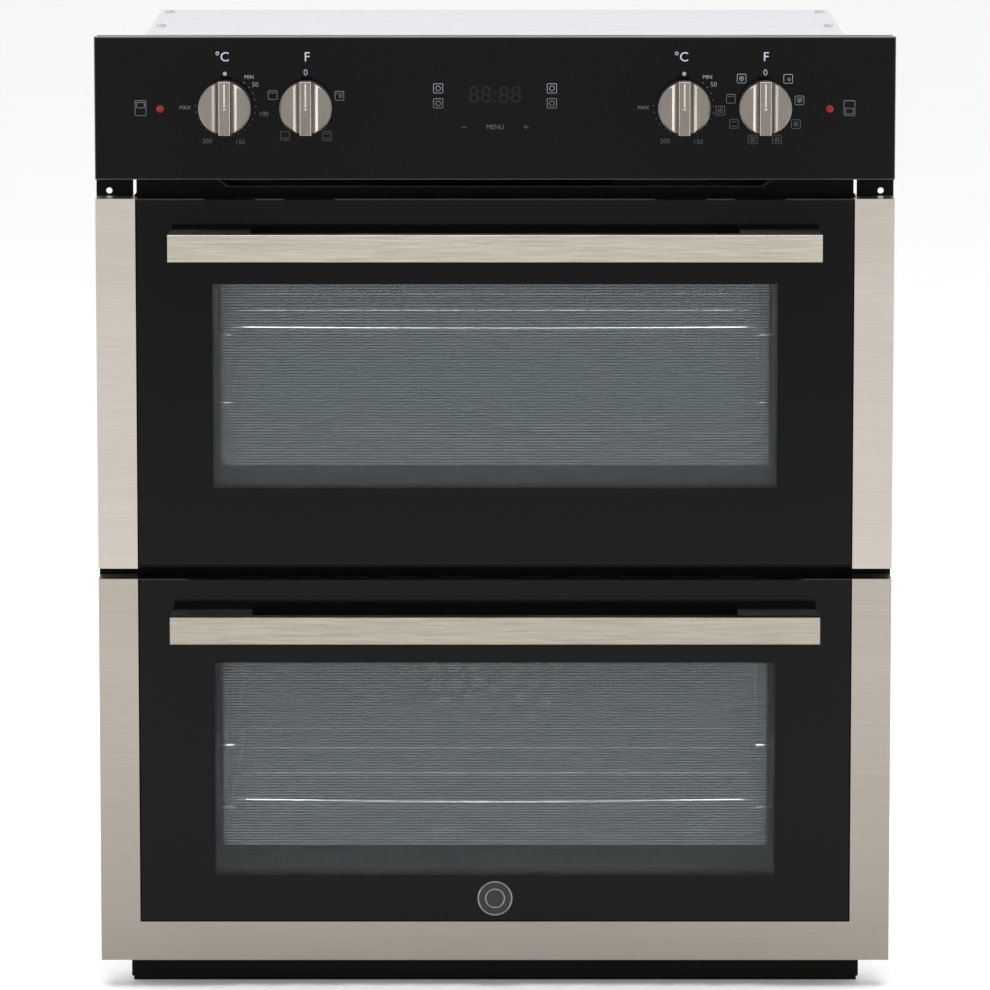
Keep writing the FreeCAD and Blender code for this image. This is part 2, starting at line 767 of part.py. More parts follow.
def lamp(floor_z, height):
    """Oven lamp: a glass dome in front of the rear wall, and its holder behind the wall."""
    x, z = lamp_place(floor_z, height)
    wall = liner_back - liner_sheet
    centre = V(x, front_y + wall + lamp_sink, z)
    reach = lamp_rim_radius + 5
    keep = block(x - reach, x + reach, wall - reach, wall - lamp_rim / 2, z - reach, z + reach)
    dome = Part.makeSphere(lamp_radius, centre).common(keep)
    rim = rod(x, wall - lamp_rim, z, lamp_rim_radius, lamp_rim, (0, 1, 0))
    keep_hollow = block(x - reach, x + reach, wall - reach, wall + 1, z - reach, z + reach)
    hollow = Part.makeSphere(lamp_radius - lamp_wall, centre).common(keep_hollow)
    lens = fuse([dome, rim]).cut(hollow)
    holder = rod(x, liner_back, z, lamp_holder_radius, lamp_holder_length, (0, 1, 0))
    bulb = rod(x, wall - bulb_reach, z, bulb_radius, bulb_reach + liner_sheet + lamp_sink,
               (0, 1, 0))
    return lens, fuse([holder, bulb])


def runner(floor_z, height, rack_z, pitch):
    """Wire ladder on the right wall: two posts and three rails, the rack on the middle one."""
    rail_z = rack_z - rack_edge_radius - runner_radius - runner_play
    post_x = cavity_width / 2 - runner_radius - 0.4
    rail_x = rack_width / 2 - runner_inset
    front, rear = runner_start_depth, runner_start_depth + runner_length
    levels = [z for z in (rail_z - pitch, rail_z, rail_z + pitch)
              if floor_z + 12 < z < floor_z + height - 14]
    low, high = min(levels) - 8, max(levels) + 8
    posts = [rod(post_x, d, low, runner_radius, high - low, (0, 0, 1))
             for d in (front + 12, rear - 12)]
    rails = [round_rod([(post_x, front + 12, z), (rail_x, front + 12, z), (rail_x, rear - 12, z),
                        (post_x, rear - 12, z)], runner_radius, 5.0) for z in levels]
    return fuse(posts + rails)


def rack(z, wires):
    """Chromed wire shelf: a rim with a bowed front bar and two cross bars, thin wires laid on it."""
    half = rack_width / 2 - rack_edge_radius
    front = rack_front_depth + rack_edge_radius
    rear = rack_front_depth + rack_depth - rack_edge_radius

    def bow(x):
        return rack_bow * (1 - (x / half) ** 2)

    stations = [(half * step / 4, front - bow(half * step / 4), z) for step in range(-3, 4)]
    line = [(0, rear, z), (-half, rear, z), (-half, front, z)] + stations
    line += [(half, front, z), (half, rear, z), (0.01, rear, z)]
    rim = round_rod(line, rack_edge_radius, rack_corner)
    bars = []
    for share in (0.35, 0.7):
        d = front + share * (rear - front)
        bars.append(rod(-half + 1, d, z + rack_edge_radius - rack_bar_radius, rack_bar_radius,
                        2 * half - 2, (1, 0, 0)))
    wire_z = z + rack_edge_radius + rack_wire_radius
    laid = []
    for x in wires:
        start = front - bow(x) - rack_wire_radius
        laid.append(rod(x, start, wire_z, rack_wire_radius, rear - start, (0, 1, 0)))
    return group([fuse([rim] + bars)] + laid)


upper_wire_places = [(step - (upper_wires - 1) / 2) * upper_wire_pitch
                     for step in range(upper_wires)]
lower_wire_places = [-left_wire_edge + step * left_wire_pitch for step in range(left_wires)]
lower_wire_places += [right_wire_edge - step * right_wire_pitch for step in range(right_wires)]


def rear_holes(shape, ports):
    """The shape with round holes along Y at (x, z, radius)."""
    return shape.cut(group([rod(x, liner_back - 20, z, r, 80, (0, 1, 0)) for x, z, r in ports]))


port_radius = element_radius + element_port_play
upper_ports = [(x, grill_z, port_radius) for x in (-grill_leg_x, grill_leg_x)]
lower_ports = [(x, ring_leg_z, port_radius) for x in (-ring_leg_x, ring_leg_x)]
lower_ports.append((0, fan_z, fan_hole_radius))
upper_lamp_x, upper_lamp_z = lamp_place(upper_floor_z, upper_cavity_height)
lower_lamp_x, lower_lamp_z = lamp_place(lower_floor_z, lower_cavity_height)
parts["upper_cavity"] = rear_holes(parts["upper_cavity"],
                                   upper_ports + [(upper_lamp_x, upper_lamp_z, 6.0)])
parts["lower_cavity"] = rear_holes(parts["lower_cavity"],
                                   lower_ports + [(lower_lamp_x, lower_lamp_z, 6.0)])
parts["insulation"] = rear_holes(parts["insulation"], upper_ports + lower_ports + [
    (upper_lamp_x, upper_lamp_z, lamp_hole_radius), (lower_lamp_x, lower_lamp_z, lamp_hole_radius)])
parts["grill_element"] = grill_element()
parts["base_elements"] = group([base_element(upper_floor_z), base_element(lower_floor_z)])
parts["ring_element"] = ring_element()
parts["fan_cover"] = fan_cover()
parts["fan_wheel"] = fan_wheel()
parts["fan_motor"] = fan_motor()
upper_lamp, lower_lamp = [lamp(z, h) for z, h in cavity_sizes()]
parts["lamp_lenses"] = group([upper_lamp[0], lower_lamp[0]])
parts["lamp_holders"] = group([upper_lamp[1], lower_lamp[1]])
parts["upper_runners"] = group(both_sides(runner(upper_floor_z, upper_cavity_height,
                                                 upper_rack_z, upper_runner_pitch)))
parts["lower_runners"] = group(both_sides(runner(lower_floor_z, lower_cavity_height,
                                                 lower_rack_z, lower_runner_pitch)))
parts["upper_rack"] = rack(upper_rack_z, upper_wire_places)
parts["lower_rack"] = rack(lower_rack_z, lower_wire_places)


# ---- doors --------------------------------------------------------------------------------------
def centred_block(half, d0, d1, z0, z1):
    """Box centred on the oven's middle plane."""
    return block(-half, half, d0, d1, z0, z1)


def handle_screw_places(door_top):
    """(x, z) of the two screws that hold a handle."""
    z = door_top - bar_below_door_top - bar_height / 2
    x = bar_length / 2 - support_length / 2
    return [(-x, z), (x, z)]


def outer_glass(low, high):
    """Outer pane with ground edges and two holes for the handle screws."""
    pane = centred_block(glass_half, 0, glass_sheet, low, high)
    rim = [e for e in pane.Edges if abs(e.BoundBox.YMax - e.BoundBox.YMin) < 1e-6
           and abs(e.BoundBox.YMax - front_y) < 1e-6]
    pane = pane.makeChamfer(glass_bevel, rim)
    holes = [rod(x, -1, z, handle_screw_radius + screw_hole_play, glass_sheet + 2, (0, 1, 0))
             for x, z in handle_screw_places(high)]
    return pane.cut(group(holes))


def door_trims(low, high, with_sill):
    """Stainless trims folded round both sides of a door, and below the glass of the lower one."""
    inner = front_half - trim_width
    fold = 2 * glass_sheet
    side = profile_z([(inner, 0), (front_half, 0), (front_half, door_thickness),
                      (front_half - trim_sheet, door_thickness),
                      (front_half - trim_sheet, trim_sheet), (inner + trim_sheet, trim_sheet),
                      (inner + trim_sheet, fold), (inner, fold)], low, high)
    top_cap = block(inner + trim_sheet, front_half - trim_sheet, trim_sheet, door_thickness,
                    high - trim_sheet, high)
    side = fuse([side, top_cap])
    trims = both_sides(side)
    if not with_sill:
        return group(trims)
    sill_top = low + trim_width
    sill = profile_x([(0, low), (0, sill_top), (glass_sheet, sill_top),
                      (glass_sheet, sill_top - trim_sheet), (trim_sheet, sill_top - trim_sheet),
                      (trim_sheet, low + trim_sheet), (fold, low + trim_sheet), (fold, low)],
                     -inner, inner)
    return group([fuse(trims + [sill])])


def door_frame(low, high):
    """Black inner frame: rails, side channels, clips between the panes, and hinge arm slots."""
    outer = front_half - trim_width
    web = inner_glass_width / 2 + pane_groove
    front, back = glass_sheet, door_thickness
    ceiling = high - frame_top_drop
    top = profile_x([(front, ceiling), (back, ceiling), (back, high - rail_height),
                     (back - rail_wall, high - rail_height), (back - rail_wall, ceiling - rail_wall),
                     (front + rail_wall, ceiling - rail_wall),
                     (front + rail_wall, high - rail_height), (front, high - rail_height)],
                    -outer, outer)
    floor_low = low + trim_sheet
    bottom = profile_x([(front, floor_low), (back, floor_low), (back, floor_low + rail_height),
                        (back - rail_wall, floor_low + rail_height),
                        (back - rail_wall, floor_low + rail_wall),
                        (front + rail_wall, floor_low + rail_wall),
                        (front + rail_wall, floor_low + rail_height),
                        (front, floor_low + rail_height)], -outer, outer)
    channels = []
    for side in both_sides(fuse([
            block(web, web + rail_wall, front, back, low + rail_height, high - rail_height),
            block(web, outer, back - rail_wall, back, low + rail_height, high - rail_height),
            block(outer - rail_wall, outer, front, back, low + rail_height, high - rail_height)])):
        channels.append(side)
    clips = []
    for z in (low + rail_height + 2, high - rail_height - clip_top_inset):
        for front_face, rear_face in ((glass_sheet, middle_glass_depth),
                                      (middle_glass_depth + middle_glass_sheet, inner_glass_depth)):
            clips += both_sides(block(inner_glass_width / 2 - clip_overlap, web, front_face,
                                      rear_face, z, z + clip_height))
    frame = fuse([top, bottom] + channels + clips)
    axis_z = pivot_z(low)
    reach = hinge_arm_sheet / 2 + hinge_side_play + hinge_ear_sheet + screw_hole_play
    clearance = hinge_eye_radius + arm_slot_play
    cuts = []
    for side in (-1, 1):
        x = side * hinge_x
        cuts.append(block(x - reach, x + reach, pivot_depth - clearance, back + 1, low - 1,
                          axis_z + clearance))
        for column in range(door_vents):
            vent = side * (door_vent_start + column * door_vent_pitch)
            for z0, z1 in ((high - 5, high + 1), (low - 1, floor_low + rail_wall + 1)):
                cuts.append(block(vent - door_vent_half, vent + door_vent_half, door_vent_front,
                                  door_vent_back, z0, z1))
    return frame.cut(group(cuts))


def inner_panes(low, high):
    """Middle and inner panes, clipped between the frame's rails."""
    half = inner_glass_width / 2
    z0, z1 = low + rail_height + 2, high - rail_height - 1
    middle = centred_block(half, middle_glass_depth, middle_glass_depth + middle_glass_sheet, z0, z1)
    inner = centred_block(half, inner_glass_depth, inner_glass_depth + glass_sheet, z0, z1)
    return middle, inner


def handle_bar(high):
    """Stainless angle: a flat front plate with a rib along its upper rear edge."""
    top = high - bar_below_door_top
    front = -handle_standoff
    outline = [(front, top), (front, top - bar_height), (front + bar_sheet, top - bar_height),
               (front + bar_sheet, top - bar_rib_height),
               (front + bar_sheet + bar_rib_depth, top - bar_rib_height),
               (front + bar_sheet + bar_rib_depth, top)]
    bar = profile_x(outline, -bar_length / 2, bar_length / 2)
    long_front = [e for e in bar.Edges if abs(e.BoundBox.XMax - e.BoundBox.XMin) > bar_length - 1
                  and abs(e.BoundBox.YMax - (front_y + front)) < 1e-6]
    return bar.makeFillet(bar_edge_radius, long_front)


def handle_supports(high):
    """Two black blocks between the bar's ends and the glass, notched over the bar's rib."""
    top = high - bar_below_door_top - support_inset
    low = high - bar_below_door_top - bar_height + support_inset
    front = -handle_standoff + bar_sheet
    end = bar_length / 2
    body = block(end - support_length, end - support_end_gap, front, 0, low, top)
    notch = block(end - support_length - 1, end + 1, front - 1, front + bar_rib_depth,
                  high - bar_below_door_top - bar_rib_height, top + 1)
    body = body.cut(notch)
    upright = [e for e in body.Edges if abs(e.BoundBox.ZMax - e.BoundBox.ZMin) > 10
               and abs(e.BoundBox.YMax - front_y) < 1e-6]
    body = body.makeChamfer(support_chamfer, upright)
    screw_x, screw_z = handle_screw_places(high)[1]
    depth = handle_screw_reach + support_bore_extra
    body = body.cut(rod(screw_x, -depth, screw_z, handle_screw_radius, depth + 1, (0, 1, 0)))
    return group(both_sides(body))


def handle_screws(high):
    """Pan-head screws from inside the door into the supports."""
    screws = []
    for x, z in handle_screw_places(high):
        shank = rod(x, -handle_screw_reach, z, handle_screw_radius,
                    handle_screw_reach + glass_sheet, (0, 1, 0))
        head = rod(x, glass_sheet, z, handle_screw_head_radius, handle_screw_head, (0, 1, 0))
        floor, top = glass_sheet + cross_floor, glass_sheet + handle_screw_head + 1
        slot = block(x - cross_half_length, x + cross_half_length, floor, top,
                     z - cross_half_width, z + cross_half_width)
        cross = block(x - cross_half_width, x + cross_half_width, floor, top,
                      z - cross_half_length, z + cross_half_length)
        screws.append(fuse([shank, head]).cut(fuse([slot, cross])))
    return group(screws)


def hinge_housing(low, side):
    """Steel U in the door's side channel, with the pivot pin through both ears."""
    axis_z = pivot_z(low)
    x = side * hinge_x
    near = hinge_arm_sheet / 2 + hinge_side_play
    far = near + hinge_ear_sheet
    ears = []
    for direction in (-1, 1):
        x0, x1 = sorted((x + direction * near, x + direction * far))
        ears.append(block(x0, x1, housing_ear_front, door_thickness - rail_wall,
                          axis_z - hinge_eye_radius, axis_z + hinge_housing_height))
    web = block(x - far, x + far, housing_web_front, housing_ear_front,
                axis_z + hinge_eye_radius + arm_slot_play, axis_z + hinge_housing_height)
    pin = rod(x - far - pin_end, pivot_depth, axis_z, pivot_radius, 2 * (far + pin_end), (1, 0, 0))
    return fuse(ears + [web, pin])


def hinge_arm(low, side):
    """Flat steel arm with an eye round the pin, hooked into its receiver behind the front frame."""
    axis_z = pivot_z(low)
    x = side * hinge_x - hinge_arm_sheet / 2
    eye = rod(x, pivot_depth, axis_z, hinge_eye_radius, hinge_arm_sheet, (1, 0, 0))
    end = frame_back + arm_reach
    bar = block(x, x + hinge_arm_sheet, pivot_depth, end, axis_z - arm_half_height,
                axis_z + arm_half_height)
    hook = block(x, x + hinge_arm_sheet, end - hook_length, end, axis_z - hook_drop, axis_z)
    bore = rod(x - 1, pivot_depth, axis_z, pivot_radius + pivot_play, hinge_arm_sheet + 2, (1, 0, 0))
    return fuse([eye, bar, hook]).cut(bore)


def hinge_receiver(low, side):
    """Folded steel bracket behind the front frame that holds the arm's hook."""
    axis_z = pivot_z(low)
    x = side * hinge_x
    inner = hinge_arm_sheet / 2 + receiver_play
    outer = inner + receiver_sheet
    low_z, high_z = axis_z - receiver_below, axis_z + receiver_above
    end = frame_back + receiver_length
    cheeks = []
    for direction in (-1, 1):
        x0, x1 = sorted((x + direction * inner, x + direction * outer))
        cheeks.append(block(x0, x1, frame_back, end, low_z, high_z))
    back = block(x - outer, x + outer, end - receiver_web, end, low_z, high_z)
    pin = rod(x - inner - 0.5, frame_back + receiver_pin_depth, axis_z - receiver_pin_drop,
              receiver_pin_radius, 2 * inner + 1, (1, 0, 0))
    return fuse(cheeks + [back, pin])


def badge():
    """Plain round badge on the lower door."""
    z = lower_door_bottom + trim_width + badge_rise
    disc = rod(0, -badge_sheet, z, badge_radius, badge_sheet, (0, 1, 0))
    front = -badge_sheet - badge_ring_proud
    ring = rod(0, front, z, badge_ring_outer, badge_ring_proud + 0.1, (0, 1, 0))
    hole = rod(0, front - 0.5, z, badge_ring_inner, badge_ring_proud + 0.6, (0, 1, 0))
    return fuse([disc, ring.cut(hole)])


lower_glass_rise = trim_width + glass_edge_gap
for name, low, high, glass_rise, with_sill in (
        ("upper", upper_door_bottom, upper_door_top, upper_glass_rise, False),
        ("lower", lower_door_bottom, lower_door_top, lower_glass_rise, True)):
    parts[name + "_door_outer_glass"] = outer_glass(low + glass_rise, high)
    parts[name + "_door_trims"] = door_trims(low, high, with_sill)
    parts[name + "_door_frame"] = door_frame(low, high)
    parts[name + "_door_middle_glass"], parts[name + "_door_inner_glass"] = inner_panes(low, high)
    parts[name + "_handle_bar"] = handle_bar(high)
    parts[name + "_handle_supports"] = handle_supports(high)
    parts[name + "_handle_screws"] = handle_screws(high)
    parts[name + "_hinge_housings"] = group([hinge_housing(low, side) for side in (-1, 1)])
door_lows = (upper_door_bottom, lower_door_bottom)
parts["hinge_arms"] = group([hinge_arm(low, side) for low in door_lows for side in (-1, 1)])
parts["hinge_receivers"] = group([hinge_receiver(low, side) for low in door_lows for side in (-1, 1)])
parts["door_badge"] = badge()


# ---- control panel ------------------------------------------------------------------------------
def knob_places():
    """(name, x) of the four knobs from left to right."""
    return (("upper_thermostat", -outer_knob_x), ("upper_selector", -inner_knob_x),
            ("lower_thermostat", inner_knob_x), ("lower_selector", outer_knob_x))


def knob(x):
    """Knob with a proud upright fin between two tapered grooves, on its own spindle."""
    face = knob_face_depth
    body = rod(x, face, knob_z, knob_radius, -knob_gap - face, (0, 1, 0))
    rim = [e for e in body.Edges if abs(e.BoundBox.YMax - (front_y + face)) < 1e-6
           and abs(e.BoundBox.YMin - (front_y + face)) < 1e-6]
    body = body.makeChamfer(1.2, rim)
    half = fin_width / 2
    grooves = []
    for side in (-1, 1):
        near, floor, top = (x + side * (half + reach) for reach in (0, groove_floor, groove_top))
        grooves.append(profile_z([(near, face - 1), (top, face - 1), (top, face),
                                  (floor, face + groove_lip), (floor, face + groove_depth),
                                  (near, face + groove_depth)],
                                 knob_z - knob_radius - 1, knob_z + knob_radius + 1))
    body = body.cut(group(grooves))
    reach = knob_radius + fin_overhang
    fin = block(x - half, x + half, face - fin_proud, face + groove_depth, knob_z - reach,
                knob_z + reach)
    fin = fin.makeFillet(1.0, [e for e in fin.Edges
                               if abs(e.BoundBox.YMax - (front_y + face - fin_proud)) < 1e-6])
    spindle = rod(x, -knob_gap - 1, knob_z, shaft_radius, shaft_rear_depth + knob_gap + 1, (0, 1, 0))
    return fuse([body, fin, spindle])


def fascia_glass():
    """Black glass front with ground edges and holes for the spindles and the lamps."""
    pane = centred_block(front_half, 0, fascia_sheet, panel_bottom_z, overall_height)
    rim = [e for e in pane.Edges if abs(e.BoundBox.YMax - front_y) < 1e-6]
    pane = pane.makeChamfer(glass_bevel, rim)
    holes = [rod(x, -1, knob_z, shaft_radius + shaft_play, fascia_sheet + 2, (0, 1, 0))
             for _, x in knob_places()]
    holes += both_sides(rod(lens_x, -1, lens_z, lens_radius, fascia_sheet + 2, (0, 1, 0)))
    return pane.cut(group(holes))


def fascia_carrier():
    """Folded steel ring that holds the glass off the front frame, with two upright ribs."""
    half, low, high = front_half - sheet, panel_bottom_z + sheet, overall_height - sheet
    ring = centred_block(half, fascia_sheet, frame_front, low, high)
    ring = ring.cut(centred_block(half - carrier_wall, fascia_sheet - 1, frame_front + 1,
                                  low + carrier_wall, high - carrier_wall))
    rib_x = display_width / 2 + carrier_rib_gap
    rib = block(rib_x, rib_x + carrier_wall, fascia_sheet, frame_front, low, high)
    return fuse([ring] + both_sides(rib))


def indicator_lens():
    """Small domed red lens and its lamp body behind the glass."""
    dome = Part.makeSphere(lens_dome_radius, V(lens_x, front_y + lens_dome_radius - lens_proud,
                                               lens_z))
    dome = dome.common(rod(lens_x, -lens_proud, lens_z, lens_radius, lens_proud + 0.1, (0, 1, 0)))
    stem = rod(lens_x, 0, lens_z, lens_radius, fascia_sheet, (0, 1, 0))
    lamp_body = rod(lens_x, fascia_sheet, lens_z, lens_radius + lens_body_extra,
                    lens_body_length, (0, 1, 0))
    return fuse([dome, stem, lamp_body])


def rotary_switch(x):
    """Switch block behind a knob, with a bushing and a bore for the spindle, and rear tabs."""
    half = switch_width / 2
    front, back = switch_front_depth, switch_front_depth + switch_depth
    body = block(x - half, x + half, front, back, knob_z - half, knob_z + half)
    bushing = rod(x, front - bushing_length, knob_z, bushing_radius, bushing_length + 0.5,
                  (0, 1, 0))
    tabs = [block(x + dx - tab_half_width, x + dx + tab_half_width, back - 0.5, back + tab_length,
                  knob_z + dz - tab_half_sheet, knob_z + dz + tab_half_sheet)
            for dx in tab_columns for dz in tab_rows]
    bore = rod(x, front - bushing_length - 1, knob_z, shaft_radius + pivot_play,
               shaft_rear_depth - front + bushing_length + 2, (0, 1, 0))
    return fuse([body, bushing] + tabs).cut(bore)


def switch_bracket():
    """Steel plate the switches are screwed to, folded forward to the front frame."""
    half = outer_knob_x + switch_width / 2 + bracket_side
    low, high = knob_z - switch_width / 2 - bracket_side, knob_z + switch_width / 2 + bracket_top
    front = switch_front_depth - sheet
    plate = centred_block(half, front, switch_front_depth, low, high)
    folds = [centred_block(half, frame_back, switch_front_depth, low, low + sheet),
             centred_block(half, frame_back, switch_front_depth, high - sheet, high)]
    bracket = fuse([plate] + folds)
    holes = [rod(x, front - 1, knob_z, bushing_hole_radius, sheet + 2, (0, 1, 0))
             for _, x in knob_places()]
    holes.append(centred_block(display_width / 2 + bracket_side, frame_back - 1, switch_front_depth + 1,
                               low + sheet, high - sheet))
    return bracket.cut(group(holes))


def timer_module():
    """Clock and display unit just behind the glass, with a circuit board and a plug."""
    half = display_width / 2
    low, high = display_z - display_height / 2, display_z + display_height / 2
    board_front = fascia_sheet + timer_window_depth
    board_back = board_front + board_sheet
    case_back = switch_front_depth + timer_case_back
    window = centred_block(half, fascia_sheet, board_front, low, high)
    board = centred_block(half + board_edge, board_front, board_back, low - board_edge,
                          high + board_edge)
    case = centred_block(half - timer_case_inset, board_back, case_back, low + timer_case_low,
                         high - timer_case_low)
    plug = block(half - plug_x - plug_half_width, half - plug_x + plug_half_width, case_back,
                 case_back + plug_length, display_z - plug_half_height,
                 display_z + plug_half_height)
    return fuse([window, board, case, plug])


def blower_housing():
    """Flat scroll with a round intake, an outlet spout to the duct, and a motor on three arms."""
    low, high = blower_low, blower_low + blower_height
    spout_front = frame_back + duct_length
    drum = rod(blower_x, blower_d, low, blower_radius, blower_height, (0, 0, 1))
    spout_low, spout_high = low, low + air_outlet_height + spout_rise
    wide = blower_radius + spout_flare
    spout = profile_z([(-blower_radius, blower_d), (blower_radius, blower_d),
                       (wide, spout_front), (-wide, spout_front)],
                      spout_low, spout_high)
    inside = rod(blower_x, blower_d, low + sheet, blower_radius - sheet, blower_height - 2 * sheet,
                 (0, 0, 1))
    spout_inside = profile_z([(-blower_radius + sheet, blower_d), (blower_radius - sheet, blower_d),
                              (wide - sheet, spout_front - 1), (sheet - wide, spout_front - 1)],
                             spout_low + sheet, spout_high - sheet)
    intake = rod(blower_x, blower_d, high - 3, intake_radius, 6, (0, 0, 1))
    scroll = fuse([drum, spout]).cut(fuse([inside, spout_inside])).cut(intake)
    motor = rod(blower_x, blower_d, high + blower_arm_sheet, blower_motor_radius,
                blower_motor_length, (0, 0, 1))
    arms = []
    for step in range(blower_arms):
        arm = block(0, blower_radius - 2, -blower_arm_half, blower_arm_half, high,
                    high + blower_arm_sheet)
        arm.translate(V(0, -front_y, 0))
        arm.rotate(V(0, 0, 0), V(0, 0, 1), 90 + 360 / blower_arms * step)
        arm.translate(V(blower_x, front_y + blower_d, 0))
        arms.append(arm)
    bore = rod(blower_x, blower_d, high - 1, shaft_radius + pivot_play, 20, (0, 0, 1))
    return fuse([scroll, motor] + arms).cut(bore)


def blower_rotor():
    """Squirrel-cage wheel on a short spindle up into the motor."""
    low = blower_low + sheet + rotor_play
    height = blower_height - 2 * sheet - 2 * rotor_play - rotor_ring_sheet
    disc = rod(blower_x, blower_d, low, rotor_radius, rotor_disc_sheet, (0, 0, 1))
    ring_low = low + height - rotor_ring_sheet
    ring = rod(blower_x, blower_d, ring_low, rotor_radius, rotor_ring_sheet, (0, 0, 1)).cut(
        rod(blower_x, blower_d, ring_low - 1, rotor_radius - rotor_ring_width,
            rotor_ring_sheet + 2, (0, 0, 1)))
    blades = []
    for step in range(rotor_blades):
        blade = block(rotor_radius - rotor_blade_chord, rotor_radius - rotor_blade_half_sheet,
                      -rotor_blade_half_sheet, rotor_blade_half_sheet, low, low + height)
        blade.translate(V(0, -front_y, 0))
        blade.rotate(V(rotor_radius - rotor_blade_chord / 2, 0, low), V(0, 0, 1),
                     rotor_blade_twist)
        blade.rotate(V(0, 0, 0), V(0, 0, 1), 360 * step / rotor_blades)
        blade.translate(V(blower_x, front_y + blower_d, 0))
        blades.append(blade)
    hub = rod(blower_x, blower_d, low, rotor_hub_radius, rotor_hub_height, (0, 0, 1))
    spindle_top = blower_low + blower_height + rotor_spindle_end
    spindle = rod(blower_x, blower_d, low, shaft_radius, spindle_top - low, (0, 0, 1))
    return fuse([disc, ring, hub, spindle] + blades)


def terminal_box():
    """Plastic wiring box on the lower part of the cover, with a cable gland at its back."""
    x1 = body_half - box_outer_inset
    x0 = x1 - box_width
    back = carcass_back - box_back_gap
    front = back - box_length
    body_top = step_top + box_height
    body = block(x0, x1, front, back, step_top, body_top)
    upright = [e for e in body.Edges if abs(e.BoundBox.ZMax - e.BoundBox.ZMin) > 10]
    body = body.makeFillet(box_corner, upright)
    lid = block(x0 + box_lid_inset, x1 - box_lid_inset, front + box_lid_inset,
                back - box_lid_inset, body_top, body_top + box_lid)
    centre, axis_z = (x0 + x1) / 2, step_top + gland_rise
    gland = rod(centre, back - 1, axis_z, gland_radius, gland_length + 1, (0, 1, 0))
    bore = rod(centre, back + gland_length - gland_bore_length, axis_z, gland_bore_radius,
               gland_bore_length + 1, (0, 1, 0))
    return fuse([body, lid, gland]).cut(bore)


parts["fascia_glass"] = fascia_glass()
parts["fascia_carrier"] = fascia_carrier()
parts["indicator_lenses"] = group(both_sides(indicator_lens()))
parts["rotary_switches"] = group([rotary_switch(x) for _, x in knob_places()])
parts["switch_bracket"] = switch_bracket()
parts["timer_module"] = timer_module()
parts["blower_housing"] = blower_housing()
parts["blower_rotor"] = blower_rotor()
parts["terminal_box"] = terminal_box()
for name, x in knob_places():
    parts[name + "_knob"] = knob(x)

os.makedirs("parts", exist_ok=True)
for name, shape in parts.items():
    shape.exportStep("parts/" + name + ".step")
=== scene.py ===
"""Built-under double oven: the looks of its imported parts, from the carcass outwards."""
import math

import bpy
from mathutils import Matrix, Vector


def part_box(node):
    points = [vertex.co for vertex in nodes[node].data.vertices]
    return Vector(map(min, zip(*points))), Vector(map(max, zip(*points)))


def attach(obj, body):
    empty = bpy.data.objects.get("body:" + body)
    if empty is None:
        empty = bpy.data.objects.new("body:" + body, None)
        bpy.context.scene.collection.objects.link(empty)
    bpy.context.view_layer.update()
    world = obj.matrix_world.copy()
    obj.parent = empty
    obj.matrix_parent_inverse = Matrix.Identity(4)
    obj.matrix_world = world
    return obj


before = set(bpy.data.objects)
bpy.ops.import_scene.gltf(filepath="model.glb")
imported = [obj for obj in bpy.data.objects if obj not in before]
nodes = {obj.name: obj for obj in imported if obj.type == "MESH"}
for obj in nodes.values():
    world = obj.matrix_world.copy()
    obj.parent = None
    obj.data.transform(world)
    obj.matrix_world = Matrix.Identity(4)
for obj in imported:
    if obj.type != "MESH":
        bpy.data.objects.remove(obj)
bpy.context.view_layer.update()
bpy.ops.object.select_all(action="DESELECT")


# ---- Carcass sheets -----------------------------------------------------------------------------
# The side walls, top cover, back and floor tray are folded from hot-dip galvanised steel sheet.
# The zinc shows large soft crystals, and the sheet is handled before it is fitted, so it is a
# little scuffed.
GALVANISED = (0.47, 0.475, 0.495)
GALVANISED_DARK = (0.44, 0.446, 0.466)
SHEET_DUST = (0.5, 0.5, 0.5)
CRYSTAL_SCALE = 120.0


def new_finish(name, roughness=0.5, metallic=0.0):
    """A new material; gives the material, its node tree and its shader."""
    material = bpy.data.materials.new(name)
    material.use_nodes = True
    tree = material.node_tree
    shader = tree.nodes["Principled BSDF"]
    shader.inputs["Roughness"].default_value = roughness
    shader.inputs["Metallic"].default_value = metallic
    return material, tree, shader


def solid(colour):
    """An RGB colour with full opacity."""
    return (*colour, 1.0)


def math_step(tree, operation, first, second):
    """A math node on two sockets or numbers; gives its output."""
    node = tree.nodes.new("ShaderNodeMath")
    node.operation = operation
    for slot, value in zip(node.inputs, (first, second)):
        if isinstance(value, (int, float)):
            slot.default_value = value
        else:
            tree.links.new(value, slot)
    return node.outputs[0]


def stepped(tree, value, low, high, out_low=0.0, out_high=1.0):
    """A value taken from one range to another, held at the ends; gives the output."""
    node = tree.nodes.new("ShaderNodeMapRange")
    tree.links.new(value, node.inputs["Value"])
    for name, number in (("From Min", low), ("From Max", high), ("To Min", out_low),
                         ("To Max", out_high)):
        node.inputs[name].default_value = number
    return node.outputs["Result"]


def mixed(tree, share, first, second):
    """A colour mixed from two colours or sockets by share; gives the output."""
    node = tree.nodes.new("ShaderNodeMix")
    node.data_type = "RGBA"
    tree.links.new(share, node.inputs["Factor"])
    for socket, value in ((node.inputs["A"], first), (node.inputs["B"], second)):
        if isinstance(value, tuple):
            socket.default_value = solid(value)
        else:
            tree.links.new(value, socket)
    return node.outputs["Result"]


def object_place(tree, stretch=(1.0, 1.0, 1.0)):
    """Object coordinates, scaled along each axis."""
    place = tree.nodes.new("ShaderNodeTexCoord")
    mapping = tree.nodes.new("ShaderNodeMapping")
    mapping.inputs["Scale"].default_value = stretch
    tree.links.new(place.outputs["Object"], mapping.inputs["Vector"])
    return mapping.outputs["Vector"]


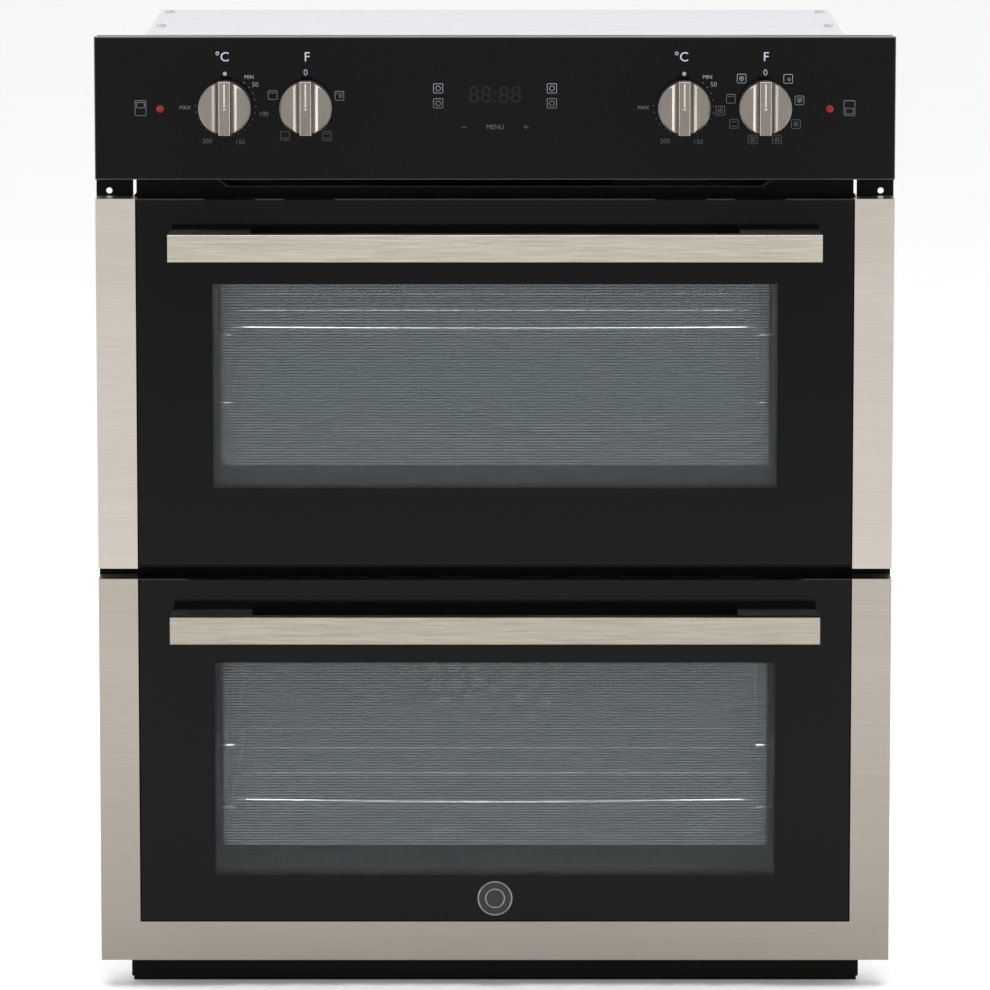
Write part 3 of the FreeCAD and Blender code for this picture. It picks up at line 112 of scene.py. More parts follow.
def noise(tree, place, scale, detail=3.0, roughness=0.55):
    """Noise texture over a place; gives its factor."""
    node = tree.nodes.new("ShaderNodeTexNoise")
    node.inputs["Scale"].default_value = scale
    node.inputs["Detail"].default_value = detail
    node.inputs["Roughness"].default_value = roughness
    tree.links.new(place, node.inputs["Vector"])
    return node.outputs["Fac"]


def raise_surface(tree, shader, height, distance, strength=1.0):
    """Bump of a height socket, in metres, into the shader's normal."""
    bump = tree.nodes.new("ShaderNodeBump")
    bump.inputs["Distance"].default_value = distance
    bump.inputs["Strength"].default_value = strength
    tree.links.new(height, bump.inputs["Height"])
    tree.links.new(bump.outputs["Normal"], shader.inputs["Normal"])


def build_handled_surface():
    """Shader group for any handled surface: soft smears for its roughness and a fine dust mask."""
    group = bpy.data.node_groups.new("handled_surface", "ShaderNodeTree")
    face = group.interface
    for name, default in (("Low", 0.3), ("High", 0.5), ("Smear Scale", 9.0), ("Dust", 0.1)):
        socket = face.new_socket(name, in_out="INPUT", socket_type="NodeSocketFloat")
        socket.default_value = default
    for name in ("Roughness", "Dust Mask"):
        face.new_socket(name, in_out="OUTPUT", socket_type="NodeSocketFloat")
    entry = group.nodes.new("NodeGroupInput")
    leave = group.nodes.new("NodeGroupOutput")
    place = object_place(group)
    smear = group.nodes.new("ShaderNodeTexNoise")
    smear.inputs["Detail"].default_value = 4.0
    group.links.new(place, smear.inputs["Vector"])
    group.links.new(entry.outputs["Smear Scale"], smear.inputs["Scale"])
    spread = group.nodes.new("ShaderNodeMapRange")
    spread.inputs["From Min"].default_value = 0.3
    spread.inputs["From Max"].default_value = 0.7
    group.links.new(smear.outputs["Fac"], spread.inputs["Value"])
    group.links.new(entry.outputs["Low"], spread.inputs["To Min"])
    group.links.new(entry.outputs["High"], spread.inputs["To Max"])
    group.links.new(spread.outputs["Result"], leave.inputs["Roughness"])
    grains = noise(group, place, scale=900.0, detail=2.0)
    specks = stepped(group, grains, 0.62, 0.72)
    group.links.new(math_step(group, "MULTIPLY", specks, entry.outputs["Dust"]),
                    leave.inputs["Dust Mask"])
    return group


handled_surface = build_handled_surface()


def handle_surface(tree, shader, low, high, smear_scale=9.0, dust=0.1):
    """Places the handled-surface group, drives the roughness with it and gives its dust mask."""
    node = tree.nodes.new("ShaderNodeGroup")
    node.node_tree = handled_surface
    for name, value in (("Low", low), ("High", high), ("Smear Scale", smear_scale),
                        ("Dust", dust)):
        node.inputs[name].default_value = value
    tree.links.new(node.outputs["Roughness"], shader.inputs["Roughness"])
    return node.outputs["Dust Mask"]


def make_galvanised():
    """Zinc crystals of two tones, slightly different in gloss."""
    material, tree, shader = new_finish("galvanised_sheet", metallic=0.35)
    place = object_place(tree)
    crystal = tree.nodes.new("ShaderNodeTexVoronoi")
    crystal.inputs["Scale"].default_value = CRYSTAL_SCALE
    crystal.inputs["Randomness"].default_value = 1.0
    tree.links.new(place, crystal.inputs["Vector"])
    tone = tree.nodes.new("ShaderNodeSeparateColor")
    tree.links.new(crystal.outputs["Color"], tone.inputs["Color"])
    dust = handle_surface(tree, shader, low=0.36, high=0.52, smear_scale=14.0, dust=0.15)
    sheet = mixed(tree, tone.outputs["Red"], GALVANISED_DARK, GALVANISED)
    tree.links.new(mixed(tree, dust, sheet, SHEET_DUST), shader.inputs["Base Color"])
    raise_surface(tree, shader, noise(tree, place, scale=60.0), distance=0.00015, strength=0.3)
    return material


def give_finish(material, *names):
    """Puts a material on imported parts, by node name."""
    for name in names:
        mesh = nodes[name].data
        mesh.materials.clear()
        mesh.materials.append(material)


galvanised = make_galvanised()
give_finish(galvanised, "side_panels", "top_cover", "back_cover", "base_tray", "cover_screws")


# ---- Zinc-plated brackets, hinges, motors and screws --------------------------------------------
# Small pressed steel pieces are bright zinc plated: slightly blue, satin, and dull where hands
# and tools have touched them.
ZINC = (0.58, 0.59, 0.61)
ZINC_DULL = (0.42, 0.42, 0.42)
ZINC_DUST = (0.3, 0.29, 0.27)


def make_zinc():
    """Satin zinc plating with dull patches."""
    material, tree, shader = new_finish("zinc_plating", metallic=0.9)
    place = object_place(tree)
    dust = handle_surface(tree, shader, low=0.28, high=0.5, smear_scale=40.0, dust=0.2)
    patches = stepped(tree, noise(tree, place, scale=55.0), 0.35, 0.75)
    plated = mixed(tree, patches, ZINC, ZINC_DULL)
    tree.links.new(mixed(tree, dust, plated, ZINC_DUST), shader.inputs["Base Color"])
    raise_surface(tree, shader, noise(tree, place, scale=400.0), distance=0.00005, strength=0.4)
    return material


zinc = make_zinc()
give_finish(zinc, "hinge_arms", "hinge_receivers", "upper_hinge_housings", "lower_hinge_housings",
            "lamp_holders", "fan_motor", "fan_wheel", "switch_bracket",
            "blower_housing", "upper_handle_screws", "lower_handle_screws")


# ---- Black front frame, door frames and plinth --------------------------------------------------
# The plate behind the doors, the doors' inner frames, the air outlet and the plinth are steel
# with a baked satin black paint, which has a very fine orange-peel surface.
BLACK_PAINT = (0.005, 0.005, 0.0055)
PLINTH_BLACK = (0.0025, 0.0025, 0.0024)
PAINT_DUST = (0.09, 0.09, 0.085)


def make_black_paint(name, colour, shine, dust_share):
    """Baked black paint with a fine orange peel and a trace of dust."""
    material, tree, shader = new_finish(name)
    shader.inputs["Specular IOR Level"].default_value = shine
    place = object_place(tree)
    dust = handle_surface(tree, shader, low=0.32, high=0.46, smear_scale=12.0, dust=dust_share)
    tree.links.new(mixed(tree, dust, colour, PAINT_DUST), shader.inputs["Base Color"])
    raise_surface(tree, shader, noise(tree, place, scale=700.0), distance=0.00004, strength=0.35)
    return material


matt_paint = make_black_paint("matt_black_paint", PLINTH_BLACK, shine=0.06, dust_share=0.03)
satin_paint = make_black_paint("satin_black_paint", BLACK_PAINT, shine=0.2, dust_share=0.1)
give_finish(matt_paint, "plinth_trim", "front_frame", "air_duct")
give_finish(satin_paint, "air_outlet_lip", "fascia_carrier", "upper_door_frame",
            "lower_door_frame")


# ---- Enamelled cavities and fan cover -----------------------------------------------------------
# The two liners and the fan's cover are pressed steel with a fired glossy enamel, dark blue-grey
# with pale specks, and it pulls a little uneven in the corners.
ENAMEL = (0.10, 0.112, 0.12)
ENAMEL_SPECK = (0.42, 0.44, 0.45)
SPECK_SCALE = 420.0


def make_enamel():
    """Fired enamel with pale specks and a slow wave in its gloss."""
    material, tree, shader = new_finish("speckled_enamel")
    shader.inputs["Coat Weight"].default_value = 0.4
    shader.inputs["Coat Roughness"].default_value = 0.12
    place = object_place(tree)
    cells = tree.nodes.new("ShaderNodeTexVoronoi")
    cells.inputs["Scale"].default_value = SPECK_SCALE
    tree.links.new(place, cells.inputs["Vector"])
    specks = stepped(tree, cells.outputs["Distance"], 0.16, 0.24, 1.0, 0.0)
    handle_surface(tree, shader, low=0.2, high=0.34, smear_scale=10.0, dust=0.0)
    tree.links.new(mixed(tree, specks, ENAMEL, ENAMEL_SPECK), shader.inputs["Base Color"])
    raise_surface(tree, shader, noise(tree, place, scale=35.0), distance=0.0004, strength=0.25)
    return material


enamel = make_enamel()
give_finish(enamel, "upper_cavity", "lower_cavity", "fan_cover")


# ---- Insulation and door seals ------------------------------------------------------------------
# Glass wool blankets wrap each liner. The seals are hollow silicone cords clipped round each
# cavity's mouth, dark grey, with a matt skin.
WOOL = (0.74, 0.70, 0.58)
WOOL_SHADOW = (0.52, 0.47, 0.36)
WOOL_LAYERS = (1.0, 1.0, 6.0)           # its fibres lie in level layers
SILICONE = (0.035, 0.035, 0.038)
SILICONE_WORN = (0.085, 0.085, 0.088)


def make_wool():
    """Loose yellowish fibres."""
    material, tree, shader = new_finish("glass_wool", roughness=0.95)
    fibres = noise(tree, object_place(tree, WOOL_LAYERS), scale=140.0, detail=8.0, roughness=0.75)
    tree.links.new(mixed(tree, fibres, WOOL_SHADOW, WOOL), shader.inputs["Base Color"])
    raise_surface(tree, shader, fibres, distance=0.002)
    return material


def make_silicone():
    """Matt silicone skin, paler where the door presses."""
    material, tree, shader = new_finish("silicone_seal")
    place = object_place(tree)
    handle_surface(tree, shader, low=0.55, high=0.72, smear_scale=30.0, dust=0.0)
    worn = stepped(tree, noise(tree, place, scale=30.0), 0.45, 0.8)
    tree.links.new(mixed(tree, worn, SILICONE, SILICONE_WORN), shader.inputs["Base Color"])
    raise_surface(tree, shader, noise(tree, place, scale=900.0), distance=0.00006, strength=0.5)
    return material


give_finish(make_wool(), "insulation")
give_finish(make_silicone(), "upper_gasket", "lower_gasket")


# ---- Heating elements and oven lamps ------------------------------------------------------------
# The elements are tubes in a nickel alloy sheath that has gone dark and slightly blue with heat.
# Each lamp looks out through a pressed glass dome with rings in it.
SHEATH = (0.075, 0.07, 0.068)
SHEATH_BLUED = (0.10, 0.11, 0.14)
DOME_GLASS = (0.86, 0.87, 0.84)
DOME_SHADE = (0.55, 0.57, 0.56)
DOME_ALPHA = 0.45
DOME_RINGS = 160.0


def make_sheath():
    """Oxidised tube with blued stretches."""
    material, tree, shader = new_finish("element_sheath", metallic=0.7)
    place = object_place(tree)
    handle_surface(tree, shader, low=0.42, high=0.62, smear_scale=25.0, dust=0.0)
    blued = stepped(tree, noise(tree, place, scale=16.0), 0.4, 0.65)
    tree.links.new(mixed(tree, blued, SHEATH, SHEATH_BLUED), shader.inputs["Base Color"])
    raise_surface(tree, shader, noise(tree, place, scale=600.0), distance=0.00008, strength=0.5)
    return material


def make_dome_glass():
    """Pressed glass with shallow rings, partly see-through."""
    material, tree, shader = new_finish("pressed_lamp_glass", roughness=0.08)
    shader.inputs["Alpha"].default_value = DOME_ALPHA
    place = object_place(tree)
    rings = tree.nodes.new("ShaderNodeTexWave")
    rings.wave_type = "BANDS"
    rings.bands_direction = "Z"
    rings.inputs["Scale"].default_value = DOME_RINGS
    tree.links.new(place, rings.inputs["Vector"])
    shade = stepped(tree, rings.outputs["Fac"], 0.0, 1.0, 0.0, 0.5)
    tree.links.new(mixed(tree, shade, DOME_GLASS, DOME_SHADE), shader.inputs["Base Color"])
    raise_surface(tree, shader, rings.outputs["Fac"], distance=0.0003, strength=0.6)
    return material


give_finish(make_sheath(), "grill_element", "base_elements", "ring_element")
give_finish(make_dome_glass(), "lamp_lenses")


# ---- Wire shelves and their runners -------------------------------------------------------------
# The shelves and the ladders they slide on are drawn steel wire, welded and then chromed, so
# they are mirror bright with a little clouding from the oven's heat.
CHROME = (0.80, 0.80, 0.80)
CHROME_CLOUDED = (0.55, 0.53, 0.49)


def make_chrome():
    """Bright chrome with faint heat clouding."""
    material, tree, shader = new_finish("chromed_wire", metallic=1.0)
    place = object_place(tree)
    handle_surface(tree, shader, low=0.12, high=0.26, smear_scale=30.0, dust=0.0)
    clouds = stepped(tree, noise(tree, place, scale=22.0), 0.5, 0.85)
    tree.links.new(mixed(tree, clouds, CHROME, CHROME_CLOUDED), shader.inputs["Base Color"])
    return material


give_finish(make_chrome(), "upper_rack", "lower_rack", "upper_runners", "lower_runners")


# ---- Door glass ---------------------------------------------------------------------------------
# Each door has an outer pane of black printed toughened glass with a clear window left in the
# print, a middle pane screened with fine lines, and a clear inner pane next to the oven.
WINDOW_HALF_WIDTH = 0.2105
WINDOWS = {"upper": (0.3820, 0.5356), "lower": (0.0866, 0.2495)}
SCREEN_HALF_WIDTH = 0.2048
SCREENS = {"upper": (0.3977, 0.5600), "lower": (0.1079, 0.2800)}
SCREEN_LINES = 149.6                    # wave scale for one line every 2.1 mm
PRINT_BLACK = (0.0022, 0.0022, 0.0022)
WINDOW_TINT = (0.05, 0.055, 0.056)
SCREEN_PALE = (0.185, 0.212, 0.226)
SCREEN_LINE = (0.05, 0.06, 0.066)
# The border colours are painted shade: the dark band round each screen, lighter on the upper door
# and darker on the lower.
SCREEN_BORDER_SHADE = {"upper": (0.036, 0.042, 0.046), "lower": (0.009, 0.012, 0.014)}
PRINT_EDGE = 0.0002                     # half the width over which a printed edge softens
WINDOW_ALPHA = 0.08
COATING_ALPHA = 0.50
LINE_ALPHA = 0.80
BORDER_ALPHA = 0.62
FILM = (0.30, 0.33, 0.32)
FILM_BAKED = (0.36, 0.34, 0.28)


def build_window_mask():
    """Shader group: 1 inside an upright rectangle centred across the oven, 0 outside it."""
    group = bpy.data.node_groups.new("window_outline", "ShaderNodeTree")
    face = group.interface
    for name in ("Half Width", "Low", "High"):
        face.new_socket(name, in_out="INPUT", socket_type="NodeSocketFloat")
    face.new_socket("Inside", in_out="OUTPUT", socket_type="NodeSocketFloat")
    entry = group.nodes.new("NodeGroupInput")
    leave = group.nodes.new("NodeGroupOutput")
    parts = group.nodes.new("ShaderNodeSeparateXYZ")
    group.links.new(object_place(group), parts.inputs[0])
    sideways = math_step(group, "ABSOLUTE", parts.outputs["X"], 0.0)
    to_side = math_step(group, "SUBTRACT", entry.outputs["Half Width"], sideways)
    to_low = math_step(group, "SUBTRACT", parts.outputs["Z"], entry.outputs["Low"])
    to_high = math_step(group, "SUBTRACT", entry.outputs["High"], parts.outputs["Z"])
    nearest = math_step(group, "MINIMUM", to_side, math_step(group, "MINIMUM", to_low, to_high))
    group.links.new(stepped(group, nearest, -PRINT_EDGE, PRINT_EDGE), leave.inputs["Inside"])
    return group


window_outline = build_window_mask()


def inside_window(tree, half_width, low, high):
    """Places the window outline group with its own sizes; gives its mask."""
    node = tree.nodes.new("ShaderNodeGroup")
    node.node_tree = window_outline
    for name, value in (("Half Width", half_width), ("Low", low), ("High", high)):
        node.inputs[name].default_value = value
    return node.outputs["Inside"]


def make_outer_glass(door):
    """Black print with a clear window, and faint wiping smears over both."""
    material, tree, shader = new_finish(door + "_printed_glass")
    shader.inputs["Specular IOR Level"].default_value = 0.11
    window = inside_window(tree, WINDOW_HALF_WIDTH, *WINDOWS[door])
    handle_surface(tree, shader, low=0.03, high=0.075, smear_scale=6.0, dust=0.0)
    tree.links.new(mixed(tree, window, PRINT_BLACK, WINDOW_TINT), shader.inputs["Base Color"])
    tree.links.new(stepped(tree, window, 0.0, 1.0, 1.0, WINDOW_ALPHA), shader.inputs["Alpha"])
    return material


def make_screened_glass(door):
    """Fine level lines over a pale coating, with a border painted dark as shade."""
    material, tree, shader = new_finish(door + "_screened_glass")
    shader.inputs["Specular IOR Level"].default_value = 0.3
    screen = inside_window(tree, SCREEN_HALF_WIDTH, *SCREENS[door])
    wave = tree.nodes.new("ShaderNodeTexWave")
    wave.wave_type = "BANDS"
    wave.bands_direction = "Z"
    wave.inputs["Scale"].default_value = SCREEN_LINES
    tree.links.new(object_place(tree), wave.inputs["Vector"])
    lines = stepped(tree, wave.outputs["Fac"], 0.50, 0.72)
    coating = mixed(tree, lines, SCREEN_PALE, SCREEN_LINE)
    handle_surface(tree, shader, low=0.08, high=0.16, smear_scale=8.0, dust=0.0)
    # Outside the screen lines the pane takes the border's painted shade.
    tree.links.new(mixed(tree, screen, SCREEN_BORDER_SHADE[door], coating), shader.inputs["Base Color"])
    lined_alpha = stepped(tree, lines, 0.0, 1.0, COATING_ALPHA, LINE_ALPHA)
    over_border = math_step(tree, "SUBTRACT", lined_alpha, BORDER_ALPHA)
    masked = math_step(tree, "MULTIPLY", screen, over_border)
    tree.links.new(math_step(tree, "ADD", masked, BORDER_ALPHA), shader.inputs["Alpha"])
    return material


def make_clear_glass():
    """Clear pane with a trace of baked film."""
    material, tree, shader = new_finish("clear_toughened_glass")
    shader.inputs["Specular IOR Level"].default_value = 0.3
    place = object_place(tree)
    handle_surface(tree, shader, low=0.04, high=0.12, smear_scale=7.0, dust=0.0)
    film = stepped(tree, noise(tree, place, scale=9.0), 0.3, 0.8, 0.05, 0.10)
    tree.links.new(film, shader.inputs["Alpha"])
    tree.links.new(mixed(tree, film, FILM, FILM_BAKED), shader.inputs["Base Color"])
    return material


clear_glass = make_clear_glass()
for door in ("upper", "lower"):
    give_finish(make_outer_glass(door), door + "_door_outer_glass")
    give_finish(make_screened_glass(door), door + "_door_middle_glass")
    give_finish(clear_glass, door + "_door_inner_glass")


# ---- Stainless door trims -----------------------------------------------------------------------
# The trims down the sides of each door, and under the lower one, are folded stainless sheet,
# brushed across the oven and lacquered against finger marks, which warms their colour.
TRIM_STEEL = (0.50, 0.455, 0.41)
TRIM_STEEL_DARK = (0.45, 0.41, 0.369)
# The lower trims' tones are painted shade: the upper trims' steel made darker, and darker still
# toward the foot.
LOWER_TRIM_SHADED = (0.385, 0.348, 0.300)
LOWER_TRIM_SHADED_DARK = (0.345, 0.312, 0.268)
TRIM_FOOT_SHADE = (0.235, 0.212, 0.188)
TRIM_SHADE_FADE = (-0.05, 0.25)               # heights between which the painted shade on the lower trim deepens
TRIM_GLOSS = (0.30, 0.42)
LEVEL = (28.0, 1300.0, 1300.0)          # stretch of a grain that runs across the oven


def build_brushed_grain():
    """Shader group: fine scratches drawn out along one direction, as a 0 to 1 value."""
    group = bpy.data.node_groups.new("brushed_grain", "ShaderNodeTree")
    face = group.interface
    face.new_socket("Stretch", in_out="INPUT", socket_type="NodeSocketVector")
    for name in ("Grain", "Cloud"):
        face.new_socket(name, in_out="OUTPUT", socket_type="NodeSocketFloat")
    entry = group.nodes.new("NodeGroupInput")
    leave = group.nodes.new("NodeGroupOutput")
    place = group.nodes.new("ShaderNodeTexCoord")
    mapping = group.nodes.new("ShaderNodeMapping")
    group.links.new(place.outputs["Object"], mapping.inputs["Vector"])
    group.links.new(entry.outputs["Stretch"], mapping.inputs["Scale"])
    scratches = noise(group, mapping.outputs["Vector"], scale=1.0, detail=6.0, roughness=0.7)
    group.links.new(scratches, leave.inputs["Grain"])
    group.links.new(noise(group, place.outputs["Object"], scale=11.0), leave.inputs["Cloud"])
    return group


brushed_grain = build_brushed_grain()


def make_brushed(name, bright, dark, stretch, gloss, foot=None):
    """Brushed metal, its grain along the axis that stretch shrinks, foot a painted shade that
    darkens it low down.
    """
    material, tree, shader = new_finish(name, metallic=1.0)
    grain = tree.nodes.new("ShaderNodeGroup")
    grain.node_tree = brushed_grain
    grain.inputs["Stretch"].default_value = stretch
    lines = stepped(tree, grain.outputs["Grain"], 0.35, 0.65)
    colour = mixed(tree, lines, dark, bright)
    if foot:
        # Painted shade: the colour darkens toward the foot between two heights.
        parts = tree.nodes.new("ShaderNodeSeparateXYZ")
        tree.links.new(object_place(tree), parts.inputs[0])
        colour = mixed(tree, stepped(tree, parts.outputs["Z"], *TRIM_SHADE_FADE), foot, colour)
    tree.links.new(colour, shader.inputs["Base Color"])
    tree.links.new(stepped(tree, grain.outputs["Cloud"], 0.3, 0.7, *gloss),
                   shader.inputs["Roughness"])
    raise_surface(tree, shader, grain.outputs["Grain"], distance=0.00003, strength=0.5)
    return material


give_finish(make_brushed("upper_brushed_trim", TRIM_STEEL, TRIM_STEEL_DARK, LEVEL, TRIM_GLOSS),
            "upper_door_trims")
# The lower trims get painted shade: darker tones, deepening toward their foot.
give_finish(make_brushed("lower_brushed_trim", LOWER_TRIM_SHADED, LOWER_TRIM_SHADED_DARK, LEVEL, TRIM_GLOSS,
                         TRIM_FOOT_SHADE), "lower_door_trims")


# ---- Handle bars and their supports -------------------------------------------------------------
# Each handle is a folded stainless bar brushed along its length, screwed on two moulded black
# supports that stand off the glass.
# The lower bar's tones are painted shade: the same steel as the upper bar, darker.
BAR_TONES_LIT_AND_SHADED = {"upper": ((0.56, 0.515, 0.435), (0.37, 0.34, 0.28)),
        "lower": ((0.42, 0.386, 0.315), (0.29, 0.266, 0.218))}
MOULDED_BLACK = (0.012, 0.012, 0.0125)
MOULDED_SHEEN = (0.03, 0.03, 0.031)
MOULDED_GREY = (0.22, 0.22, 0.225)
MOULDED_GREY_PALE = (0.28, 0.28, 0.285)
BAR_GLOSS = (0.24, 0.34)


def make_moulded(name, dark, pale, low, high):
    """Moulded plastic with a fine spark-eroded texture."""
    material, tree, shader = new_finish(name)
    shader.inputs["Specular IOR Level"].default_value = 0.35
    place = object_place(tree)
    handle_surface(tree, shader, low, high, smear_scale=20.0, dust=0.0)
    patches = stepped(tree, noise(tree, place, scale=25.0), 0.35, 0.75)
    tree.links.new(mixed(tree, patches, dark, pale), shader.inputs["Base Color"])
    sparks = noise(tree, place, scale=1400.0, detail=2.0)
    raise_surface(tree, shader, sparks, distance=0.00005, strength=0.5)
    return material


black_plastic = make_moulded("moulded_black", MOULDED_BLACK, MOULDED_SHEEN, 0.38, 0.5)
# Each bar gets its tones; the lower bar's are painted darker as shade.
for door, (bright, dark) in BAR_TONES_LIT_AND_SHADED.items():
    give_finish(make_brushed(door + "_brushed_bar", bright, dark, LEVEL, BAR_GLOSS),
                door + "_handle_bar")
give_finish(black_plastic, "upper_handle_supports", "lower_handle_supports", "timer_module",
            "blower_rotor")
give_finish(make_moulded("moulded_grey", MOULDED_GREY, MOULDED_GREY_PALE, 0.42, 0.55),
            "rotary_switches", "terminal_box")


# ---- Control knobs ------------------------------------------------------------------------------
# Each knob is die-cast and nickel plated, with a fin across it between two sloped grooves. A
# thin pale line and a dot are inlaid on the fin to show where it points.
KNOB_STEEL = (0.245, 0.222, 0.198)
KNOB_STEEL_DARK = (0.21, 0.188, 0.168)
KNOB_GRAIN = (700.0, 60.0, 60.0)        # its grain runs up and down
KNOB_GLOSS = (0.26, 0.38)
INLAY = (0.47, 0.44, 0.40)
INLAY_SHADE = (0.38, 0.36, 0.32)
POINTER_WIDTH = 0.0011
POINTER_TOP = 0.0185                    # above the knob's centre
POINTER_DOT = 0.0011
POINTER_DOT_CORNERS = 20
INLAY_PROUD = 0.00004
KNOBS = ("upper_thermostat", "upper_selector", "lower_thermostat", "lower_selector")
FACING_FRONT = (math.radians(90.0), 0.0, 0.0)


def make_inlay(name, colour, shade, shine=0.5):
    """Baked screen-print ink, faintly uneven."""
    material, tree, shader = new_finish(name, roughness=0.5)
    shader.inputs["Specular IOR Level"].default_value = shine
    worn = stepped(tree, noise(tree, object_place(tree), scale=260.0), 0.35, 0.75)
    tree.links.new(mixed(tree, worn, colour, shade), shader.inputs["Base Color"])
    return material


def only_select(piece):
    """Makes a piece the only one selected, and active."""
    bpy.ops.object.select_all(action="DESELECT")
    piece.select_set(True)
    bpy.context.view_layer.objects.active = piece


def flat_plate(width, height, x, front_y, z):
    """A flat upright plate that faces the front."""
    bpy.ops.object.select_all(action="DESELECT")
    bpy.ops.mesh.primitive_plane_add(size=1.0, location=(x, front_y, z), rotation=FACING_FRONT)
    plate = bpy.context.object
    plate.scale = (width, height, 1.0)
    bpy.ops.object.transform_apply(location=True, rotation=True, scale=True)
    return plate


def flat_disc(radius, x, front_y, z, corners):
    """A flat upright disc that faces the front."""
    bpy.ops.object.select_all(action="DESELECT")
    bpy.ops.mesh.primitive_circle_add(vertices=corners, radius=radius, fill_type="NGON",
                                      location=(x, front_y, z), rotation=FACING_FRONT)
    disc = bpy.context.object
    bpy.ops.object.transform_apply(location=True, rotation=True, scale=True)
    return disc


def thicken(plate, depth):
    """Gives a flat plate that faces the front its thickness, backwards."""
    only_select(plate)
    bpy.ops.object.mode_set(mode="EDIT")
    bpy.ops.mesh.select_all(action="SELECT")
    bpy.ops.mesh.extrude_region_move(TRANSFORM_OT_translate={"value": (0.0, depth, 0.0)})
    bpy.ops.mesh.select_all(action="SELECT")
    bpy.ops.mesh.normals_make_consistent(inside=False)
    bpy.ops.object.mode_set(mode="OBJECT")
    return plate


def join_pieces(pieces, name):
    """Joins pieces into one mesh, gives it its name, and puts its origin at the frame's."""
    only_select(pieces[0])
    for piece in pieces:
        piece.select_set(True)
    bpy.ops.object.join()
    joined = bpy.context.object
    joined.name = name
    joined.data.name = name
    bpy.ops.object.transform_apply(location=True, rotation=True, scale=True)
    return joined


def finish_piece(piece, material, body):
    """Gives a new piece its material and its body."""
    piece.data.materials.clear()
    piece.data.materials.append(material)
    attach(piece, body)


give_finish(make_brushed("plated_knob", KNOB_STEEL, KNOB_STEEL_DARK, KNOB_GRAIN, KNOB_GLOSS),
            *(knob + "_knob" for knob in KNOBS))
inlay_ink = make_inlay("pale_inlay", INLAY, INLAY_SHADE)
for knob in KNOBS:
    low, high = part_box(knob + "_knob")
    centre_x = (low.x + high.x) / 2
    centre_z = (low.z + high.z) / 2
    face_y = low.y - INLAY_PROUD
    line = flat_plate(POINTER_WIDTH, POINTER_TOP, centre_x, face_y, centre_z + POINTER_TOP / 2)
    thicken(line, INLAY_PROUD * 2)
    dot = flat_disc(POINTER_DOT, centre_x, face_y, centre_z, POINTER_DOT_CORNERS)
    thicken(dot, INLAY_PROUD * 2)
    finish_piece(join_pieces([line, dot], knob + "_pointer"), inlay_ink, knob)


# ---- Control panel glass and its printing -------------------------------------------------------
# The control panel is one strip of black toughened glass. Its scales, symbols and touch keys are
# ceramic ink, pale blue-grey, and the clock's digits are unlit.
PANEL_BLACK = (0.0022, 0.0022, 0.0024)
PANEL_DUST = (0.05, 0.05, 0.05)
# A painted highlight: a thin strip of lighter green round the front face, standing for light
# caught on the glass's edge.
EDGE_GREEN_HIGHLIGHT = (0.05, 0.065, 0.067)
EDGE_HIGHLIGHT_STRIP = 0.0007
INK = (0.40, 0.47, 0.55)
# The second ink colour is the ink darkened by painted shade, low on the glass.
INK_SHADED = (0.050, 0.056, 0.063)
INK_SHADE_DEEPEST_Z = 0.640                      # the painted shade on the ink is deepest at this height
INK_UNSHADED_Z = 0.705                      # and the ink is unshaded from this one
UNLIT = (0.0085, 0.009, 0.0095)
UNLIT_SHADE = (0.006, 0.0065, 0.007)
INK_DEPTH = 0.00004
INK_LINE = 0.0004
TEXT_SIZE = 1.42                        # the face's size over its capitals' height
RING_CORNERS = 24
KNOB_Z = 0.6685


def make_panel_glass():
    """Black glass with faint smears, and a painted green highlight in a thin strip round its front
    face's edge.
    """
    material, tree, shader = new_finish("black_panel_glass")
    shader.inputs["Specular IOR Level"].default_value = 0.12
    low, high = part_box("fascia_glass")
    inner = inside_window(tree, high.x - EDGE_HIGHLIGHT_STRIP, low.z + EDGE_HIGHLIGHT_STRIP, high.z - EDGE_HIGHLIGHT_STRIP)
    dust = handle_surface(tree, shader, low=0.03, high=0.08, smear_scale=5.0, dust=0.03)
    black = mixed(tree, dust, PANEL_BLACK, PANEL_DUST)
    # The strip round the edge takes the painted highlight.
    tree.links.new(mixed(tree, inner, EDGE_GREEN_HIGHLIGHT, black), shader.inputs["Base Color"])
    return material


give_finish(make_panel_glass(), "fascia_glass")


def make_panel_ink():
    """Ceramic ink, darkened by painted shade towards the lower edge of the glass."""
    material, tree, shader = new_finish("panel_ink", roughness=0.5)
    shader.inputs["Specular IOR Level"].default_value = 0.15
    place = object_place(tree)
    parts = tree.nodes.new("ShaderNodeSeparateXYZ")
    tree.links.new(place, parts.inputs[0])
    height = stepped(tree, parts.outputs["Z"], INK_SHADE_DEEPEST_Z, INK_UNSHADED_Z)
    uneven = stepped(tree, noise(tree, place, scale=300.0), 0.3, 0.7, 0.85, 1.0)
    # Painted shade: the ink darkens toward the lower edge, with the square of the height's share.
    full = math_step(tree, "MULTIPLY", math_step(tree, "POWER", height, 2.0), uneven)
    tree.links.new(mixed(tree, full, INK_SHADED, INK), shader.inputs["Base Color"])
    return material


ink = make_panel_ink()
unlit_ink = make_inlay("unlit_digits", UNLIT, UNLIT_SHADE, 0.1)
panel_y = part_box("fascia_glass")[0].y - INK_DEPTH


